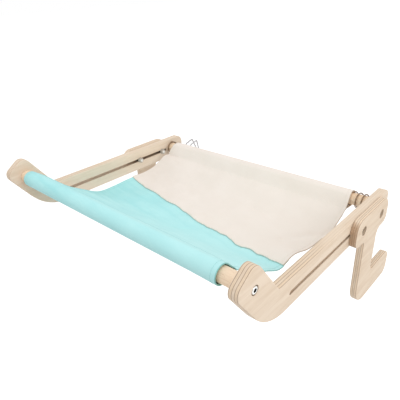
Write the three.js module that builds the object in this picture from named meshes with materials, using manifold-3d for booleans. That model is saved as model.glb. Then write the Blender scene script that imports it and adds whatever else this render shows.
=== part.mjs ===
// Sling perch for a sill: two slotted plywood arms, two sliding hook brackets,
// two dowels and a two-colour canvas sling. Millimetres, +X across, +Y back to the sill, +Z up.
// The origin lies midway between the brackets, on the sill's front top edge.
import * as THREE from "three";
import { mergeVertices } from "three/addons/utils/BufferGeometryUtils.js";
import Module from "manifold-3d";

const wasm = await Module();
wasm.setup();

// Clearances
const FIT = 0.3; // between pieces that seat on or in each other
const OVERRUN = 2; // how far a cutter runs past the face that it opens

// Side arms
const INNER_WIDTH = 500; // between the arms' inner faces
const ARM_THICKNESS = 15;
const ARM_DEPTH = 45;
const ARM_TAIL = 38; // behind the rear dowel's axis
const ARM_REAR_ROUND = 15;
const ARM_TURN = THREE.MathUtils.degToRad(54.5); // rise of the upturned end
const ARM_HEAD_WIDTH = 47;
const ARM_HEAD_REACH = 29; // past the front dowel's axis
const ARM_HEAD_ROUND = 14;
const ARM_HEEL_RADIUS = 80;
const ARM_CROOK_RADIUS = 8;
const SLOT_WIDTH = 6.6;
const SLOT_SETBACK = 79; // the slot's front end behind the front dowel's axis
const EDGE_ROUND = 1.2; // eased edges of the plywood pieces

// Hook brackets
const BRACKET_THICKNESS = 12;
const BRACKET_HEAD_DEPTH = 48;
const BRACKET_HEAD_FRONT = 87; // ahead of the leg's back face
const BRACKET_HEAD_REAR = 37; // behind the leg's back face
const BRACKET_TOP_ROUND = 20;
const BRACKET_BOTTOM_ROUND = 14;
const LEG_WIDTH = 51;
const LEG_FRONT_FILLET = 8;
const THROAT_HEIGHT = 88;
const THROAT_TOP_FILLET = 14;
const THROAT_BOTTOM_FILLET = 12;
const FOOT_DEPTH = 51;
const FOOT_REACH = 89.5;
const FOOT_HEEL_RADIUS = 38;
const FOOT_TIP_ROUND = 16;
const LEFT_ADVANCE = 11; // the left bracket stands this much further forward

// Dowels
const DOWEL_DIAMETER = 22;
const DOWEL_SPAN = 368; // between the two axes, along the arms
const DOWEL_RISE = 52.7; // front axis above the rear one
const REAR_DOWEL_SETBACK = 31; // rear axis behind the legs' back faces
const REAR_DOWEL_LIFT = 1.8; // rear axis above the slots' middle

// Fasteners
const BOLT_DIAMETER = 6;
const BOLT_HOLE = 6.6;
const DOWEL_BOLT_HEAD = 10.4;
const DOWEL_BOLT_HEAD_HEIGHT = 6;
const DOWEL_BOLT_FLATS = 5; // across the hexagon socket
const DOWEL_BOLT_SOCKET_DEPTH = 3.2;
const DOWEL_BOLT_GRIP = 12; // length inside the insert
const DOWEL_RECESS_DIAMETER = 13.4;
const DOWEL_RECESS_DEPTH = 6.5;
const INSERT_DIAMETER = 10;
const INSERT_LENGTH = 14;
const CLAMP_SPACING = 70; // between a bracket's two bolts
const CLAMP_REAR_SETBACK = 10.5; // rear bolt behind the leg's back face
const CLAMP_BOLT_HEAD = 13;
const CLAMP_BOLT_HEAD_HEIGHT = 3.5;
const CLAMP_BOLT_FLATS = 4;
const CLAMP_BOLT_SOCKET_DEPTH = 2.2;
const CLAMP_RECESS_DIAMETER = 16;
const CLAMP_RECESS_DEPTH = 7;
const CLAMP_WASHER_DIAMETER = 12;
const CLAMP_WASHER_THICKNESS = 1.6;
const NUT_FLATS = 10;
const NUT_HEIGHT = 5;
const BOLT_TIP = 1.5; // length past the nut
const SLOT_END_PLAY = 0.5;

// Sling
const CLOTH = 2; // doubled canvas
const SLEEVE_CLEARANCE = 1.2;
const LEFT_BARE_END = 18; // dowel left bare between the sling and each arm
const RIGHT_BARE_END = 34;
const SLING_SAG = 38.8; // lowest line below the rear dowel's axis
const STITCH_REACH = 26; // from a dowel's axis to its sleeve's stitch line
const FRONT_LEAVE = THREE.MathUtils.degToRad(40); // slope of the cloth off the front dowel
const REAR_LEAVE = THREE.MathUtils.degToRad(22);
const SEAM_GAP = 0.4;
const EDGE_RISE = 20; // the most that a side edge hangs higher than the middle
const LEFT_FADE = 8; // how fast each edge's rise fades towards the middle
const RIGHT_FADE = 2.7;
const PUCKER = 1.2;
const PUCKERS = 6;
const SEAM_BAND_SHARE = 0.1;
// How far along the run, front to rear, the slanting seam starts and ends.
const SEAM_LEFT_SHARE = 0.626;
const SEAM_RIGHT_SHARE = 0.424;
// The hanging line, as shares of the run between the stitch lines and of the fall.
const HANG_SHARES = [
  [0.037, 0.835],
  [0.129, 0.56],
  [0.226, 0.32],
  [0.337, 0.11],
  [0.461, 0.022],
  [0.603, 0],
  [0.744, 0.022],
  [0.854, 0.087],
  [0.9485, 0.225],
];
// The rise of the left and the right edge at the same places.
const EDGE_SHARES = [
  [0, 0],
  [0, 0.1],
  [0.13, 0.43],
  [0.17, 0.6],
  [0.43, 0.95],
  [0.7, 0.45],
  [0.57, 0.45],
  [0.35, 0.05],
  [0.3, -0.06],
];
const SLING_STATIONS = 25;
const TAIL_STEPS = 9;
const SLEEVE_STEPS = 12;

// Wire pieces
const WIRE_DIAMETER = 2.2;
const LEFT_SPRING_TURNS = 2;
const RIGHT_SPRING_TURNS = 2.75;
const SPRING_STEPS = 8;
const SPRING_SIDES = 5;
const HOOK_WIRE = 2.5;
const HOOK_SPREAD = 15; // between its two wires
const HOOK_INSET = 31.5; // from the sling's left edge to the hook's middle
const HOOK_LIFT = THREE.MathUtils.degToRad(61.7); // of the wires out of the dowel
const HOOK_NECK = 16.2; // from the dowel's axis to the wires' first bend
const HOOK_SLOPE = THREE.MathUtils.degToRad(12.9); // of the long part behind it
const HOOK_REACH = 26.5; // from the first bend to the second
const HOOK_DROP = 34;
const HOOK_DROP_LEAN = THREE.MathUtils.degToRad(19.3);
const HOOK_BEND = 3;
const HOOK_SEAT = 3; // where its ends stop, from the dowel's axis
const HOOK_SIDES = 6;

// Places that follow from the sizes
const SLOT_HEIGHT = BRACKET_HEAD_DEPTH / 2;
const ARM_TOP = SLOT_HEIGHT + ARM_DEPTH / 2;
const ARM_BOTTOM = SLOT_HEIGHT - ARM_DEPTH / 2;
const ARM_INNER = INNER_WIDTH / 2;
const ARM_OUTER = ARM_INNER + ARM_THICKNESS;
const BRACKET_INNER = ARM_OUTER + FIT;
const BRACKET_OUTER = BRACKET_INNER + BRACKET_THICKNESS;
const REAR_AXIS = new THREE.Vector2(REAR_DOWEL_SETBACK, SLOT_HEIGHT + REAR_DOWEL_LIFT);
const FRONT_AXIS = REAR_AXIS.clone().add(new THREE.Vector2(-DOWEL_SPAN, DOWEL_RISE));
const CLAMP_REAR = CLAMP_REAR_SETBACK;
const CLAMP_FRONT = CLAMP_REAR_SETBACK - CLAMP_SPACING;
const SLOT_REAR = CLAMP_REAR + SLOT_END_PLAY;
const SLOT_FRONT = FRONT_AXIS.x + SLOT_SETBACK;
const DOWEL_RADIUS = DOWEL_DIAMETER / 2;
const SLEEVE_INNER = DOWEL_RADIUS + SLEEVE_CLEARANCE;
const SLEEVE_OUTER = SLEEVE_INNER + CLOTH;
const SLING_LEFT = LEFT_BARE_END - ARM_INNER;
const SLING_RIGHT = ARM_INNER - RIGHT_BARE_END;
const HOOK_CENTRE = SLING_LEFT + HOOK_INSET;

const HALF_TURN = Math.PI;
const QUARTER_TURN = Math.PI / 2;
const FULL_TURN = Math.PI * 2;

// Materials
function finish(color, roughness, metalness) {
  return () => new THREE.MeshStandardMaterial({ color, roughness, metalness });
}
const plywood = finish(0xe9dac6, 0.62, 0);
const dowelWood = finish(0xf0d6bc, 0.6, 0);
const aquaCanvas = finish(0xb7eaeb, 0.9, 0);
const beigeCanvas = finish(0xefe7de, 0.9, 0);
const brightSteel = finish(0xc8ccd0, 0.3, 1);
const blackSteel = finish(0x2b2a29, 0.45, 1);
const brassInsert = finish(0xb9974f, 0.4, 1);
const springSteel = finish(0x63676d, 0.35, 1);

// Turns an outline drawn in (Y, Z) into a plate that grows along +X from zero.
const ACROSS = new THREE.Matrix4().makeBasis(
  new THREE.Vector3(0, 1, 0),
  new THREE.Vector3(0, 0, 1),
  new THREE.Vector3(1, 0, 0),
);

// Solids and booleans
function bare(geometry) {
  const plain = new THREE.BufferGeometry();
  plain.setAttribute("position", geometry.getAttribute("position").clone());
  if (geometry.index) plain.setIndex(geometry.index.clone());
  return mergeVertices(plain, 1e-4);
}

function toSolid(geometry) {
  const merged = bare(geometry);
  const vertProperties = new Float32Array(merged.getAttribute("position").array);
  const triVerts = new Uint32Array(merged.index.array);
  return new wasm.Manifold(new wasm.Mesh({ numProp: 3, vertProperties, triVerts }));
}

function toGeometry(solid) {
  const mesh = solid.getMesh();
  const geometry = new THREE.BufferGeometry();
  geometry.setAttribute("position", new THREE.BufferAttribute(new Float32Array(mesh.vertProperties), 3));
  geometry.setIndex(new THREE.BufferAttribute(new Uint32Array(mesh.triVerts), 1));
  return geometry;
}

function cutFrom(geometry, cutters) {
  let solid = toSolid(geometry);
  for (const cutter of cutters) solid = solid.subtract(toSolid(cutter));
  return toGeometry(solid);
}

// A round bar along +X, from zero to its length.
function roundBar(radius, length, sides) {
  const bar = new THREE.CylinderGeometry(radius, radius, length, sides);
  bar.rotateZ(-QUARTER_TURN);
  bar.translate(length / 2, 0, 0);
  return bar;
}

// A turned piece whose profile holds (radius, place along +X) pairs.
function turned(profile, sides) {
  const points = profile.map(([radius, along]) => new THREE.Vector2(radius, along));
  const lathe = new THREE.LatheGeometry(points, sides);
  lathe.rotateZ(-QUARTER_TURN);
  return lathe;
}

function plate(shape, thickness, curveSegments) {
  const plateGeometry = new THREE.ExtrudeGeometry(shape, {
    depth: thickness - 2 * EDGE_ROUND,
    bevelEnabled: true,
    bevelThickness: EDGE_ROUND,
    bevelSize: EDGE_ROUND,
    bevelOffset: -EDGE_ROUND,
    bevelSegments: 1,
    curveSegments,
  });
  plateGeometry.translate(0, 0, EDGE_ROUND);
  return plateGeometry.applyMatrix4(ACROSS);
}

// A point or a middle that lies on the head's slanting lines, at a height.
function onHeadLine(offset, height) {
  const up = new THREE.Vector2(-Math.cos(ARM_TURN), Math.sin(ARM_TURN));
  const back = new THREE.Vector2(Math.sin(ARM_TURN), Math.cos(ARM_TURN));
  const start = FRONT_AXIS.clone().addScaledVector(back, offset);
  return start.addScaledVector(up, (height - start.y) / up.y);
}

function headCorner(side) {
  const up = new THREE.Vector2(-Math.cos(ARM_TURN), Math.sin(ARM_TURN));
  const back = new THREE.Vector2(Math.sin(ARM_TURN), Math.cos(ARM_TURN));
  const corner = FRONT_AXIS.clone().addScaledVector(back, side * (ARM_HEAD_WIDTH / 2 - ARM_HEAD_ROUND));
  return corner.addScaledVector(up, ARM_HEAD_REACH - ARM_HEAD_ROUND);
}

function slotOutline() {
  const slot = new THREE.Path();
  const radius = SLOT_WIDTH / 2;
  slot.absarc(SLOT_REAR, SLOT_HEIGHT, radius, -QUARTER_TURN, QUARTER_TURN, false);
  slot.absarc(SLOT_FRONT, SLOT_HEIGHT, radius, QUARTER_TURN, QUARTER_TURN + HALF_TURN, false);
  slot.closePath();
  return slot;
}

function armOutline() {
  const shape = new THREE.Shape();
  const end = REAR_AXIS.x + ARM_TAIL - ARM_REAR_ROUND;
  const endLow = ARM_BOTTOM + ARM_REAR_ROUND;
  const endHigh = ARM_TOP - ARM_REAR_ROUND;
  const across = QUARTER_TURN - ARM_TURN;
  const crook = onHeadLine(ARM_HEAD_WIDTH / 2 + ARM_CROOK_RADIUS, ARM_TOP + ARM_CROOK_RADIUS);
  const heel = onHeadLine(ARM_HEEL_RADIUS - ARM_HEAD_WIDTH / 2, ARM_BOTTOM + ARM_HEEL_RADIUS);
  const rearCorner = headCorner(1);
  const frontCorner = headCorner(-1);
  shape.absarc(end, endLow, ARM_REAR_ROUND, -QUARTER_TURN, 0, false);
  shape.absarc(end, endHigh, ARM_REAR_ROUND, 0, QUARTER_TURN, false);
  shape.absarc(crook.x, crook.y, ARM_CROOK_RADIUS, -QUARTER_TURN, across - HALF_TURN, true);
  shape.absarc(rearCorner.x, rearCorner.y, ARM_HEAD_ROUND, across, across + QUARTER_TURN, false);
  shape.absarc(frontCorner.x, frontCorner.y, ARM_HEAD_ROUND, across + QUARTER_TURN, across + HALF_TURN, false);
  shape.absarc(heel.x, heel.y, ARM_HEEL_RADIUS, across + HALF_TURN, HALF_TURN + QUARTER_TURN, false);
  shape.closePath();
  shape.holes.push(slotOutline());
  return shape;
}

// Both arms are alike but for the side that the bolts' recesses open to.
function armGeometry(side) {
  const cutters = [];
  for (const axis of [FRONT_AXIS, REAR_AXIS]) {
    const hole = roundBar(BOLT_HOLE / 2, ARM_THICKNESS + 2 * OVERRUN, 16);
    hole.translate(-OVERRUN, axis.x, axis.y);
    const recess = roundBar(DOWEL_RECESS_DIAMETER / 2, DOWEL_RECESS_DEPTH + OVERRUN, 24);
    const opening = side > 0 ? ARM_THICKNESS - DOWEL_RECESS_DEPTH : -OVERRUN;
    recess.translate(opening, axis.x, axis.y);
    cutters.push(hole, recess);
  }
  return cutFrom(plate(armOutline(), ARM_THICKNESS, 10), cutters);
}

function bracketOutline() {
  const shape = new THREE.Shape();
  const bottom = -THROAT_HEIGHT - FOOT_DEPTH;
  const tip = FOOT_REACH - FOOT_TIP_ROUND;
  const headTop = BRACKET_HEAD_DEPTH - BRACKET_TOP_ROUND;
  const arcs = [
    [tip, -THROAT_HEIGHT - FOOT_TIP_ROUND, FOOT_TIP_ROUND, 0, 1],
    [THROAT_BOTTOM_FILLET, THROAT_BOTTOM_FILLET - THROAT_HEIGHT, THROAT_BOTTOM_FILLET, 3, -1],
    [THROAT_TOP_FILLET, -THROAT_TOP_FILLET, THROAT_TOP_FILLET, 2, -1],
    [BRACKET_HEAD_REAR - BRACKET_BOTTOM_ROUND, BRACKET_BOTTOM_ROUND, BRACKET_BOTTOM_ROUND, 3, 1],
    [BRACKET_HEAD_REAR - BRACKET_TOP_ROUND, headTop, BRACKET_TOP_ROUND, 0, 1],
    [BRACKET_TOP_ROUND - BRACKET_HEAD_FRONT, headTop, BRACKET_TOP_ROUND, 1, 1],
    [BRACKET_BOTTOM_ROUND - BRACKET_HEAD_FRONT, BRACKET_BOTTOM_ROUND, BRACKET_BOTTOM_ROUND, 2, 1],
    [-LEG_WIDTH - LEG_FRONT_FILLET, -LEG_FRONT_FILLET, LEG_FRONT_FILLET, 1, -1],
    [FOOT_HEEL_RADIUS - LEG_WIDTH, bottom + FOOT_HEEL_RADIUS, FOOT_HEEL_RADIUS, 2, 1],
    [tip, bottom + FOOT_TIP_ROUND, FOOT_TIP_ROUND, 3, 1],
  ];
  for (const [y, z, radius, quarter, way] of arcs) {
    const start = quarter * QUARTER_TURN;
    shape.absarc(y, z, radius, start, start + way * QUARTER_TURN, way < 0);
  }
  shape.closePath();
  return shape;
}

function bracketGeometry(side) {
  const cutters = [];
  for (const along of [CLAMP_FRONT, CLAMP_REAR]) {
    const hole = roundBar(BOLT_HOLE / 2, BRACKET_THICKNESS + 2 * OVERRUN, 16);
    hole.translate(-OVERRUN, along, SLOT_HEIGHT);
    const recess = roundBar(CLAMP_RECESS_DIAMETER / 2, CLAMP_RECESS_DEPTH + OVERRUN, 24);
    const opening = side > 0 ? BRACKET_THICKNESS - CLAMP_RECESS_DEPTH : -OVERRUN;
    recess.translate(opening, along, SLOT_HEIGHT);
    cutters.push(hole, recess);
  }
  return cutFrom(plate(bracketOutline(), BRACKET_THICKNESS, 7), cutters);
}

// Where the hook's two wires enter the rear dowel and leave its sleeve.
function hookBores(start, length) {
  return [-1, 1].map((side) => {
    const bore = new THREE.CylinderGeometry(HOOK_WIRE / 2 + FIT, HOOK_WIRE / 2 + FIT, length, 8);
    bore.translate(0, start + length / 2, 0);
    bore.rotateX(HOOK_LIFT);
    bore.translate(HOOK_CENTRE + (side * HOOK_SPREAD) / 2, REAR_AXIS.x, REAR_AXIS.y);
    return bore;
  });
}

function dowelGeometry(extraCutters) {
  const length = INNER_WIDTH - 2 * FIT;
  const bar = roundBar(DOWEL_RADIUS, length, 32);
  bar.translate(-length / 2, 0, 0);
  const boreLength = INSERT_LENGTH + FIT;
  const left = roundBar(INSERT_DIAMETER / 2 + FIT, boreLength + OVERRUN, 24);
  left.translate(-length / 2 - OVERRUN, 0, 0);
  const right = left.clone().rotateZ(HALF_TURN);
  return cutFrom(bar, [left, right, ...extraCutters]);
}

// A bolt along +X: its head's underside is at zero, its shank runs to minus its length.
function boltGeometry(headDiameter, headHeight, socketFlats, socketDepth, length) {
  const head = headDiameter / 2;
  const shank = BOLT_DIAMETER / 2;
  const ease = EDGE_ROUND / 2;
  const body = turned(
    [
      [0, -length],
      [shank - ease, -length],
      [shank, ease - length],
      [shank, 0],
      [head, 0],
      [head, headHeight - ease],
      [head - ease, headHeight],
      [0, headHeight],
    ],
    20,
  );
  const socket = roundBar(socketFlats / Math.sqrt(3), socketDepth + OVERRUN, 6);
  socket.translate(headHeight - socketDepth, 0, 0);
  return cutFrom(body, [socket]);
}

function dowelBoltGeometry(length) {
  const head = [DOWEL_BOLT_HEAD, DOWEL_BOLT_HEAD_HEIGHT];
  return boltGeometry(...head, DOWEL_BOLT_FLATS, DOWEL_BOLT_SOCKET_DEPTH, length);
}

function clampBoltGeometry(length) {
  const head = [CLAMP_BOLT_HEAD, CLAMP_BOLT_HEAD_HEIGHT];
  return boltGeometry(...head, CLAMP_BOLT_FLATS, CLAMP_BOLT_SOCKET_DEPTH, length);
}

function washerGeometry(diameter, thickness) {
  const hole = BOLT_HOLE / 2;
  const rim = diameter / 2;
  return turned(
    [
      [hole, 0],
      [rim, 0],
      [rim, thickness],
      [hole, thickness],
      [hole, 0],
    ],
    20,
  );
}

function nutGeometry() {
  const body = roundBar(NUT_FLATS / Math.sqrt(3), NUT_HEIGHT, 6);
  const hole = roundBar(BOLT_HOLE / 2, NUT_HEIGHT + 2 * OVERRUN, 16);
  hole.translate(-OVERRUN, 0, 0);
  return cutFrom(body, [hole]);
}

function insertGeometry() {
  const hole = BOLT_HOLE / 2;
  const rim = INSERT_DIAMETER / 2;
  return turned(
    [
      [hole, 0],
      [rim, 0],
      [rim, INSERT_LENGTH],
      [hole, INSERT_LENGTH],
      [hole, 0],
    ],
    20,
  );
}

// A closed tube of one wire through a list of points.
function tubeGeometry(points, radius, sides) {
  const positions = [];
  const index = [];
  let across = new THREE.Vector3();
  points.forEach((point, i) => {
    const before = points[Math.max(i - 1, 0)];
    const after = points[Math.min(i + 1, points.length - 1)];
    const along = after.clone().sub(before).normalize();
    if (i === 0) across.set(1, 0, 0).addScaledVector(along, -along.x);
    if (i === 0 && across.length() < 0.5) across.set(0, 1, 0).addScaledVector(along, -along.y);
    across = across.addScaledVector(along, -across.dot(along)).normalize();
    const other = along.clone().cross(across);
    for (let k = 0; k < sides; k += 1) {
      const turn = (k / sides) * FULL_TURN;
      const place = point.clone();
      place.addScaledVector(across, Math.cos(turn) * radius);
      place.addScaledVector(other, Math.sin(turn) * radius);
      positions.push(place.x, place.y, place.z);
    }
  });
  for (let i = 0; i + 1 < points.length; i += 1) {
    for (let k = 0; k < sides; k += 1) {
      const a = i * sides + k;
      const b = i * sides + ((k + 1) % sides);
      index.push(a, b, b + sides, a, b + sides, a + sides);
    }
  }
  const last = (points.length - 1) * sides;
  for (let k = 1; k + 1 < sides; k += 1) {
    index.push(0, k + 1, k);
    index.push(last, last + k, last + k + 1);
  }
  const geometry = new THREE.BufferGeometry();
  geometry.setAttribute("position", new THREE.Float32BufferAttribute(positions, 3));
  geometry.setIndex(index);
  return geometry;
}

// The least clear distance between turns of a wire that lie more than half a turn apart.
function leastGap(points, steps, diameter) {
  let least = Infinity;
  for (let i = 0; i < points.length; i += 1) {
    for (let j = i + Math.ceil(steps / 2) + 1; j < points.length; j += 1) {
      least = Math.min(least, points[i].distanceTo(points[j]) - diameter);
    }
  }
  return least;
}

// A coil round a dowel, from zero along +X over the space that it fills. It advances mostly
// along its rear half, so that its front half stands square to the dowel.
function springPoints(space, turns) {
  const radius = (DOWEL_RADIUS + FIT + WIRE_DIAMETER / 2) / Math.cos(HALF_TURN / SPRING_STEPS);
  const rise = space - 2 * WIRE_DIAMETER;
  const steps = Math.round(turns * SPRING_STEPS);
  const points = [];
  const advance = (turn) => turn + 1 - Math.cos(turn);
  const whole = advance((steps / SPRING_STEPS) * FULL_TURN);
  for (let i = 0; i <= steps; i += 1) {
    const turn = (i / SPRING_STEPS) * FULL_TURN;
    const along = WIRE_DIAMETER + (rise * advance(turn)) / whole;
    points.push(new THREE.Vector3(along, radius * Math.sin(turn), radius * Math.cos(turn)));
  }
  const first = points[0].clone().setX(0);
  const last = points[steps].clone().setX(space);
  return [first, ...points, last];
}

function springGeometry(name, space, turns) {
  const points = springPoints(space, turns);
  const gap = leastGap(points, SPRING_STEPS, WIRE_DIAMETER);
  console.log(name + " least gap to itself " + gap.toFixed(2) + " mm");
  return tubeGeometry(points, WIRE_DIAMETER / 2, SPRING_SIDES);
}

// Rounds the inner corners of a path with a few points on each bend.
function roundedPath(corners, radius, steps) {
  const points = [corners[0]];
  for (let i = 1; i + 1 < corners.length; i += 1) {
    const corner = corners[i];
    const into = corners[i - 1].clone().sub(corner).normalize();
    const out = corners[i + 1].clone().sub(corner).normalize();
    const half = Math.acos(THREE.MathUtils.clamp(into.dot(out), -1, 1)) / 2;
    const back = radius / Math.tan(half);
    const start = corner.clone().addScaledVector(into, back);
    const end = corner.clone().addScaledVector(out, back);
    const bend = new THREE.QuadraticBezierCurve3(start, corner, end);
    points.push(...bend.getPoints(steps));
  }
  points.push(corners[corners.length - 1]);
  return points;
}

function hookGeometry() {
  const leg = (side) => {
    const x = HOOK_CENTRE + (side * HOOK_SPREAD) / 2;
    const axis = new THREE.Vector3(x, REAR_AXIS.x, REAR_AXIS.y);
    const onward = (from, length, slope) =>
      from.clone().add(new THREE.Vector3(0, length * Math.cos(slope), length * Math.sin(slope)));
    const neck = onward(axis, HOOK_NECK, HOOK_LIFT);
    const bend = onward(neck, HOOK_REACH, HOOK_SLOPE);
    const low = onward(bend, HOOK_DROP, HOOK_DROP_LEAN - QUARTER_TURN);
    return [onward(axis, HOOK_SEAT, HOOK_LIFT), neck, bend, low];
  };
  const corners = [...leg(-1), ...leg(1).reverse()];
  return tubeGeometry(roundedPath(corners, HOOK_BEND, 4), HOOK_WIRE / 2, HOOK_SIDES);
}

// Sling
const FALL = DOWEL_RISE + SLING_SAG;

function frontStitch() {
  const down = new THREE.Vector2(Math.cos(FRONT_LEAVE), -Math.sin(FRONT_LEAVE));
  const out = new THREE.Vector2(Math.sin(FRONT_LEAVE), Math.cos(FRONT_LEAVE));
  const start = FRONT_AXIS.clone().addScaledVector(out, SLEEVE_INNER + CLOTH / 2);
  return start.addScaledVector(down, Math.sqrt(STITCH_REACH ** 2 - SLEEVE_OUTER ** 2));
}

function rearStitch() {
  const down = new THREE.Vector2(-Math.cos(REAR_LEAVE), -Math.sin(REAR_LEAVE));
  return REAR_AXIS.clone().addScaledVector(down, STITCH_REACH);
}

function hangingSpots() {
  const front = frontStitch();
  const rear = rearStitch();
  const lowest = REAR_AXIS.y - SLING_SAG;
  const spots = HANG_SHARES.map(
    ([along, height]) => new THREE.Vector2(THREE.MathUtils.lerp(front.x, rear.x, along), lowest + height * FALL),
  );
  return [front, ...spots, rear];
}

const hangingLine = new THREE.SplineCurve(hangingSpots());

const edgeRise = new THREE.SplineCurve([
  new THREE.Vector2(),
  ...EDGE_SHARES.map(([left, right]) => new THREE.Vector2(left, right).multiplyScalar(EDGE_RISE)),
  new THREE.Vector2(),
]);

function seamShare(across) {
  return THREE.MathUtils.lerp(SEAM_LEFT_SHARE, SEAM_RIGHT_SHARE, across);
}

// How far a spot of the sling lies above the hanging line.
function lift(across, along) {
  const fromMiddle = Math.abs(2 * across - 1);
  const rise = edgeRise.getPoint(along);
  const near = Math.exp(-(((along - seamShare(across)) / SEAM_BAND_SHARE) ** 2));
  const ripple = PUCKER * Math.cos(FULL_TURN * PUCKERS * across) * near;
  const edge = across < 0.5 ? rise.x * fromMiddle ** LEFT_FADE : rise.y * fromMiddle ** RIGHT_FADE;
  return edge + ripple * Math.sin(HALF_TURN * along) ** 2;
}

// A spot on the upper or lower face of the cloth, in (Y, Z).
function clothSpot(across, along, face) {
  const spot = hangingLine.getPoint(along);
  const tangent = hangingLine.getTangent(along);
  spot.y += lift(across, along);
  return spot.add(new THREE.Vector2(-tangent.y, tangent.x).multiplyScalar((face * CLOTH) / 2));
}

// Round the far side of a sleeve, from the tangent of one stitch spot to that of the other.
function sleeveArc(axis, from, to, way) {
  const tangentTurn = (spot, side) => {
    const away = spot.clone().sub(axis);
    return away.angle() + side * Math.acos(SLEEVE_OUTER / away.length());
  };
  const start = tangentTurn(from, way);
  let end = tangentTurn(to, -way);
  while ((end - start) * way < 0) end += way * FULL_TURN;
  const points = [];
  for (let i = 0; i <= SLEEVE_STEPS; i += 1) {
    const turn = start + ((end - start) * i) / SLEEVE_STEPS;
    points.push(new THREE.Vector2(Math.cos(turn), Math.sin(turn)).multiplyScalar(SLEEVE_OUTER).add(axis));
  }
  return points;
}

function sleeveHole(axis) {
  const points = [];
  for (let i = 0; i < SLEEVE_STEPS; i += 1) {
    const turn = (-i / SLEEVE_STEPS) * FULL_TURN;
    points.push(new THREE.Vector2(Math.cos(turn), Math.sin(turn)).multiplyScalar(SLEEVE_INNER).add(axis));
  }
  return points;
}

// One section of a panel: a sleeve with a tail that ends at the seam, drawn the left way round.
function panelSection(across, front) {
  const gapShare = SEAM_GAP / 2 / DOWEL_SPAN;
  const seam = seamShare(across) + (front ? -gapShare : gapShare);
  const sleeveEnd = front ? 0 : 1;
  const face = (side) => {
    const points = [];
    for (let i = 0; i <= TAIL_STEPS; i += 1) {
      points.push(clothSpot(across, THREE.MathUtils.lerp(seam, sleeveEnd, i / TAIL_STEPS), side));
    }
    return points;
  };
  const toSleeve = face(front ? 1 : -1);
  const fromSleeve = face(front ? -1 : 1).reverse();
  const axis = front ? FRONT_AXIS : REAR_AXIS;
  const arc = sleeveArc(axis, toSleeve[TAIL_STEPS], fromSleeve[0], 1);
  return { contour: [...toSleeve, ...arc, ...fromSleeve], hole: sleeveHole(axis) };
}

function panelGeometry(front) {
  const positions = [];
  const index = [];
  const sections = [];
  for (let i = 0; i < SLING_STATIONS; i += 1) {
    const across = i / (SLING_STATIONS - 1);
    const section = panelSection(across, front);
    const x = THREE.MathUtils.lerp(SLING_LEFT, SLING_RIGHT, across);
    for (const spot of [...section.contour, ...section.hole]) positions.push(x, spot.x, spot.y);
    sections.push(section);
  }
  const rim = sections[0].contour.length;
  const count = rim + sections[0].hole.length;
  const wall = (a, b) => index.push(a, b, b + count, a, b + count, a + count);
  for (let i = 0; i + 1 < SLING_STATIONS; i += 1) {
    const base = i * count;
    for (let k = 0; k < rim; k += 1) wall(base + k, base + ((k + 1) % rim));
    for (let k = rim; k < count; k += 1) wall(base + k, base + (k + 1 < count ? k + 1 : rim));
  }
  const end = (SLING_STATIONS - 1) * count;
  const first = sections[0];
  const last = sections[SLING_STATIONS - 1];
  for (const [a, b, c] of THREE.ShapeUtils.triangulateShape(first.contour, [first.hole])) index.push(a, c, b);
  for (const [a, b, c] of THREE.ShapeUtils.triangulateShape(last.contour, [last.hole])) {
    index.push(end + a, end + b, end + c);
  }
  const geometry = new THREE.BufferGeometry();
  geometry.setAttribute("position", new THREE.Float32BufferAttribute(positions, 3));
  geometry.setIndex(index);
  return geometry;
}

// Assembly
const perch = new THREE.Group();

function place(parent, name, geometry, material, x, y, z) {
  const mesh = new THREE.Mesh(geometry, material());
  mesh.name = name;
  mesh.position.set(x, y, z);
  parent.add(mesh);
  return mesh;
}

function addDowelFasteners(side, label, end, axis) {
  const group = new THREE.Group();
  group.position.set(0, axis.x, axis.y);
  if (side < 0) group.rotation.z = HALF_TURN;
  const prefix = end + "_" + label;
  const headSeat = ARM_OUTER - DOWEL_RECESS_DEPTH + FIT;
  const shank = headSeat - ARM_INNER + FIT + DOWEL_BOLT_GRIP;
  place(group, prefix + "_bolt", dowelBoltGeometry(shank), brightSteel, headSeat, 0, 0);
  place(group, prefix + "_insert", insertGeometry(), brassInsert, ARM_INNER - FIT - INSERT_LENGTH, 0, 0);
  perch.add(group);
}

function addClampFasteners(side, label, end, along) {
  const group = new THREE.Group();
  group.position.set(0, along, SLOT_HEIGHT);
  if (side < 0) group.rotation.z = HALF_TURN;
  const prefix = label + "_" + end + "_clamp";
  const headSeat = BRACKET_OUTER - CLAMP_RECESS_DEPTH + FIT;
  const washerSeat = ARM_INNER - FIT - CLAMP_WASHER_THICKNESS;
  const nutSeat = washerSeat - FIT - NUT_HEIGHT;
  const shank = headSeat - nutSeat + BOLT_TIP;
  place(group, prefix + "_bolt", clampBoltGeometry(shank), blackSteel, headSeat, 0, 0);
  const washer = washerGeometry(CLAMP_WASHER_DIAMETER, CLAMP_WASHER_THICKNESS);
  place(group, prefix + "_washer", washer, brightSteel, washerSeat, 0, 0);
  place(group, prefix + "_nut", nutGeometry(), brightSteel, nutSeat, 0, 0);
  perch.add(group);
}

for (const [side, label] of [
  [-1, "left"],
  [1, "right"],
]) {
  const armStart = side > 0 ? ARM_INNER : -ARM_OUTER;
  const bracketStart = side > 0 ? BRACKET_INNER : -BRACKET_OUTER;
  const advance = side > 0 ? 0 : -LEFT_ADVANCE;
  place(perch, label + "_arm", armGeometry(side), plywood, armStart, 0, 0);
  place(perch, label + "_bracket", bracketGeometry(side), plywood, bracketStart, advance, 0);
  addDowelFasteners(side, label, "front", FRONT_AXIS);
  addDowelFasteners(side, label, "rear", REAR_AXIS);
  addClampFasteners(side, label, "front", CLAMP_FRONT + advance);
  addClampFasteners(side, label, "rear", CLAMP_REAR + advance);
}

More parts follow.
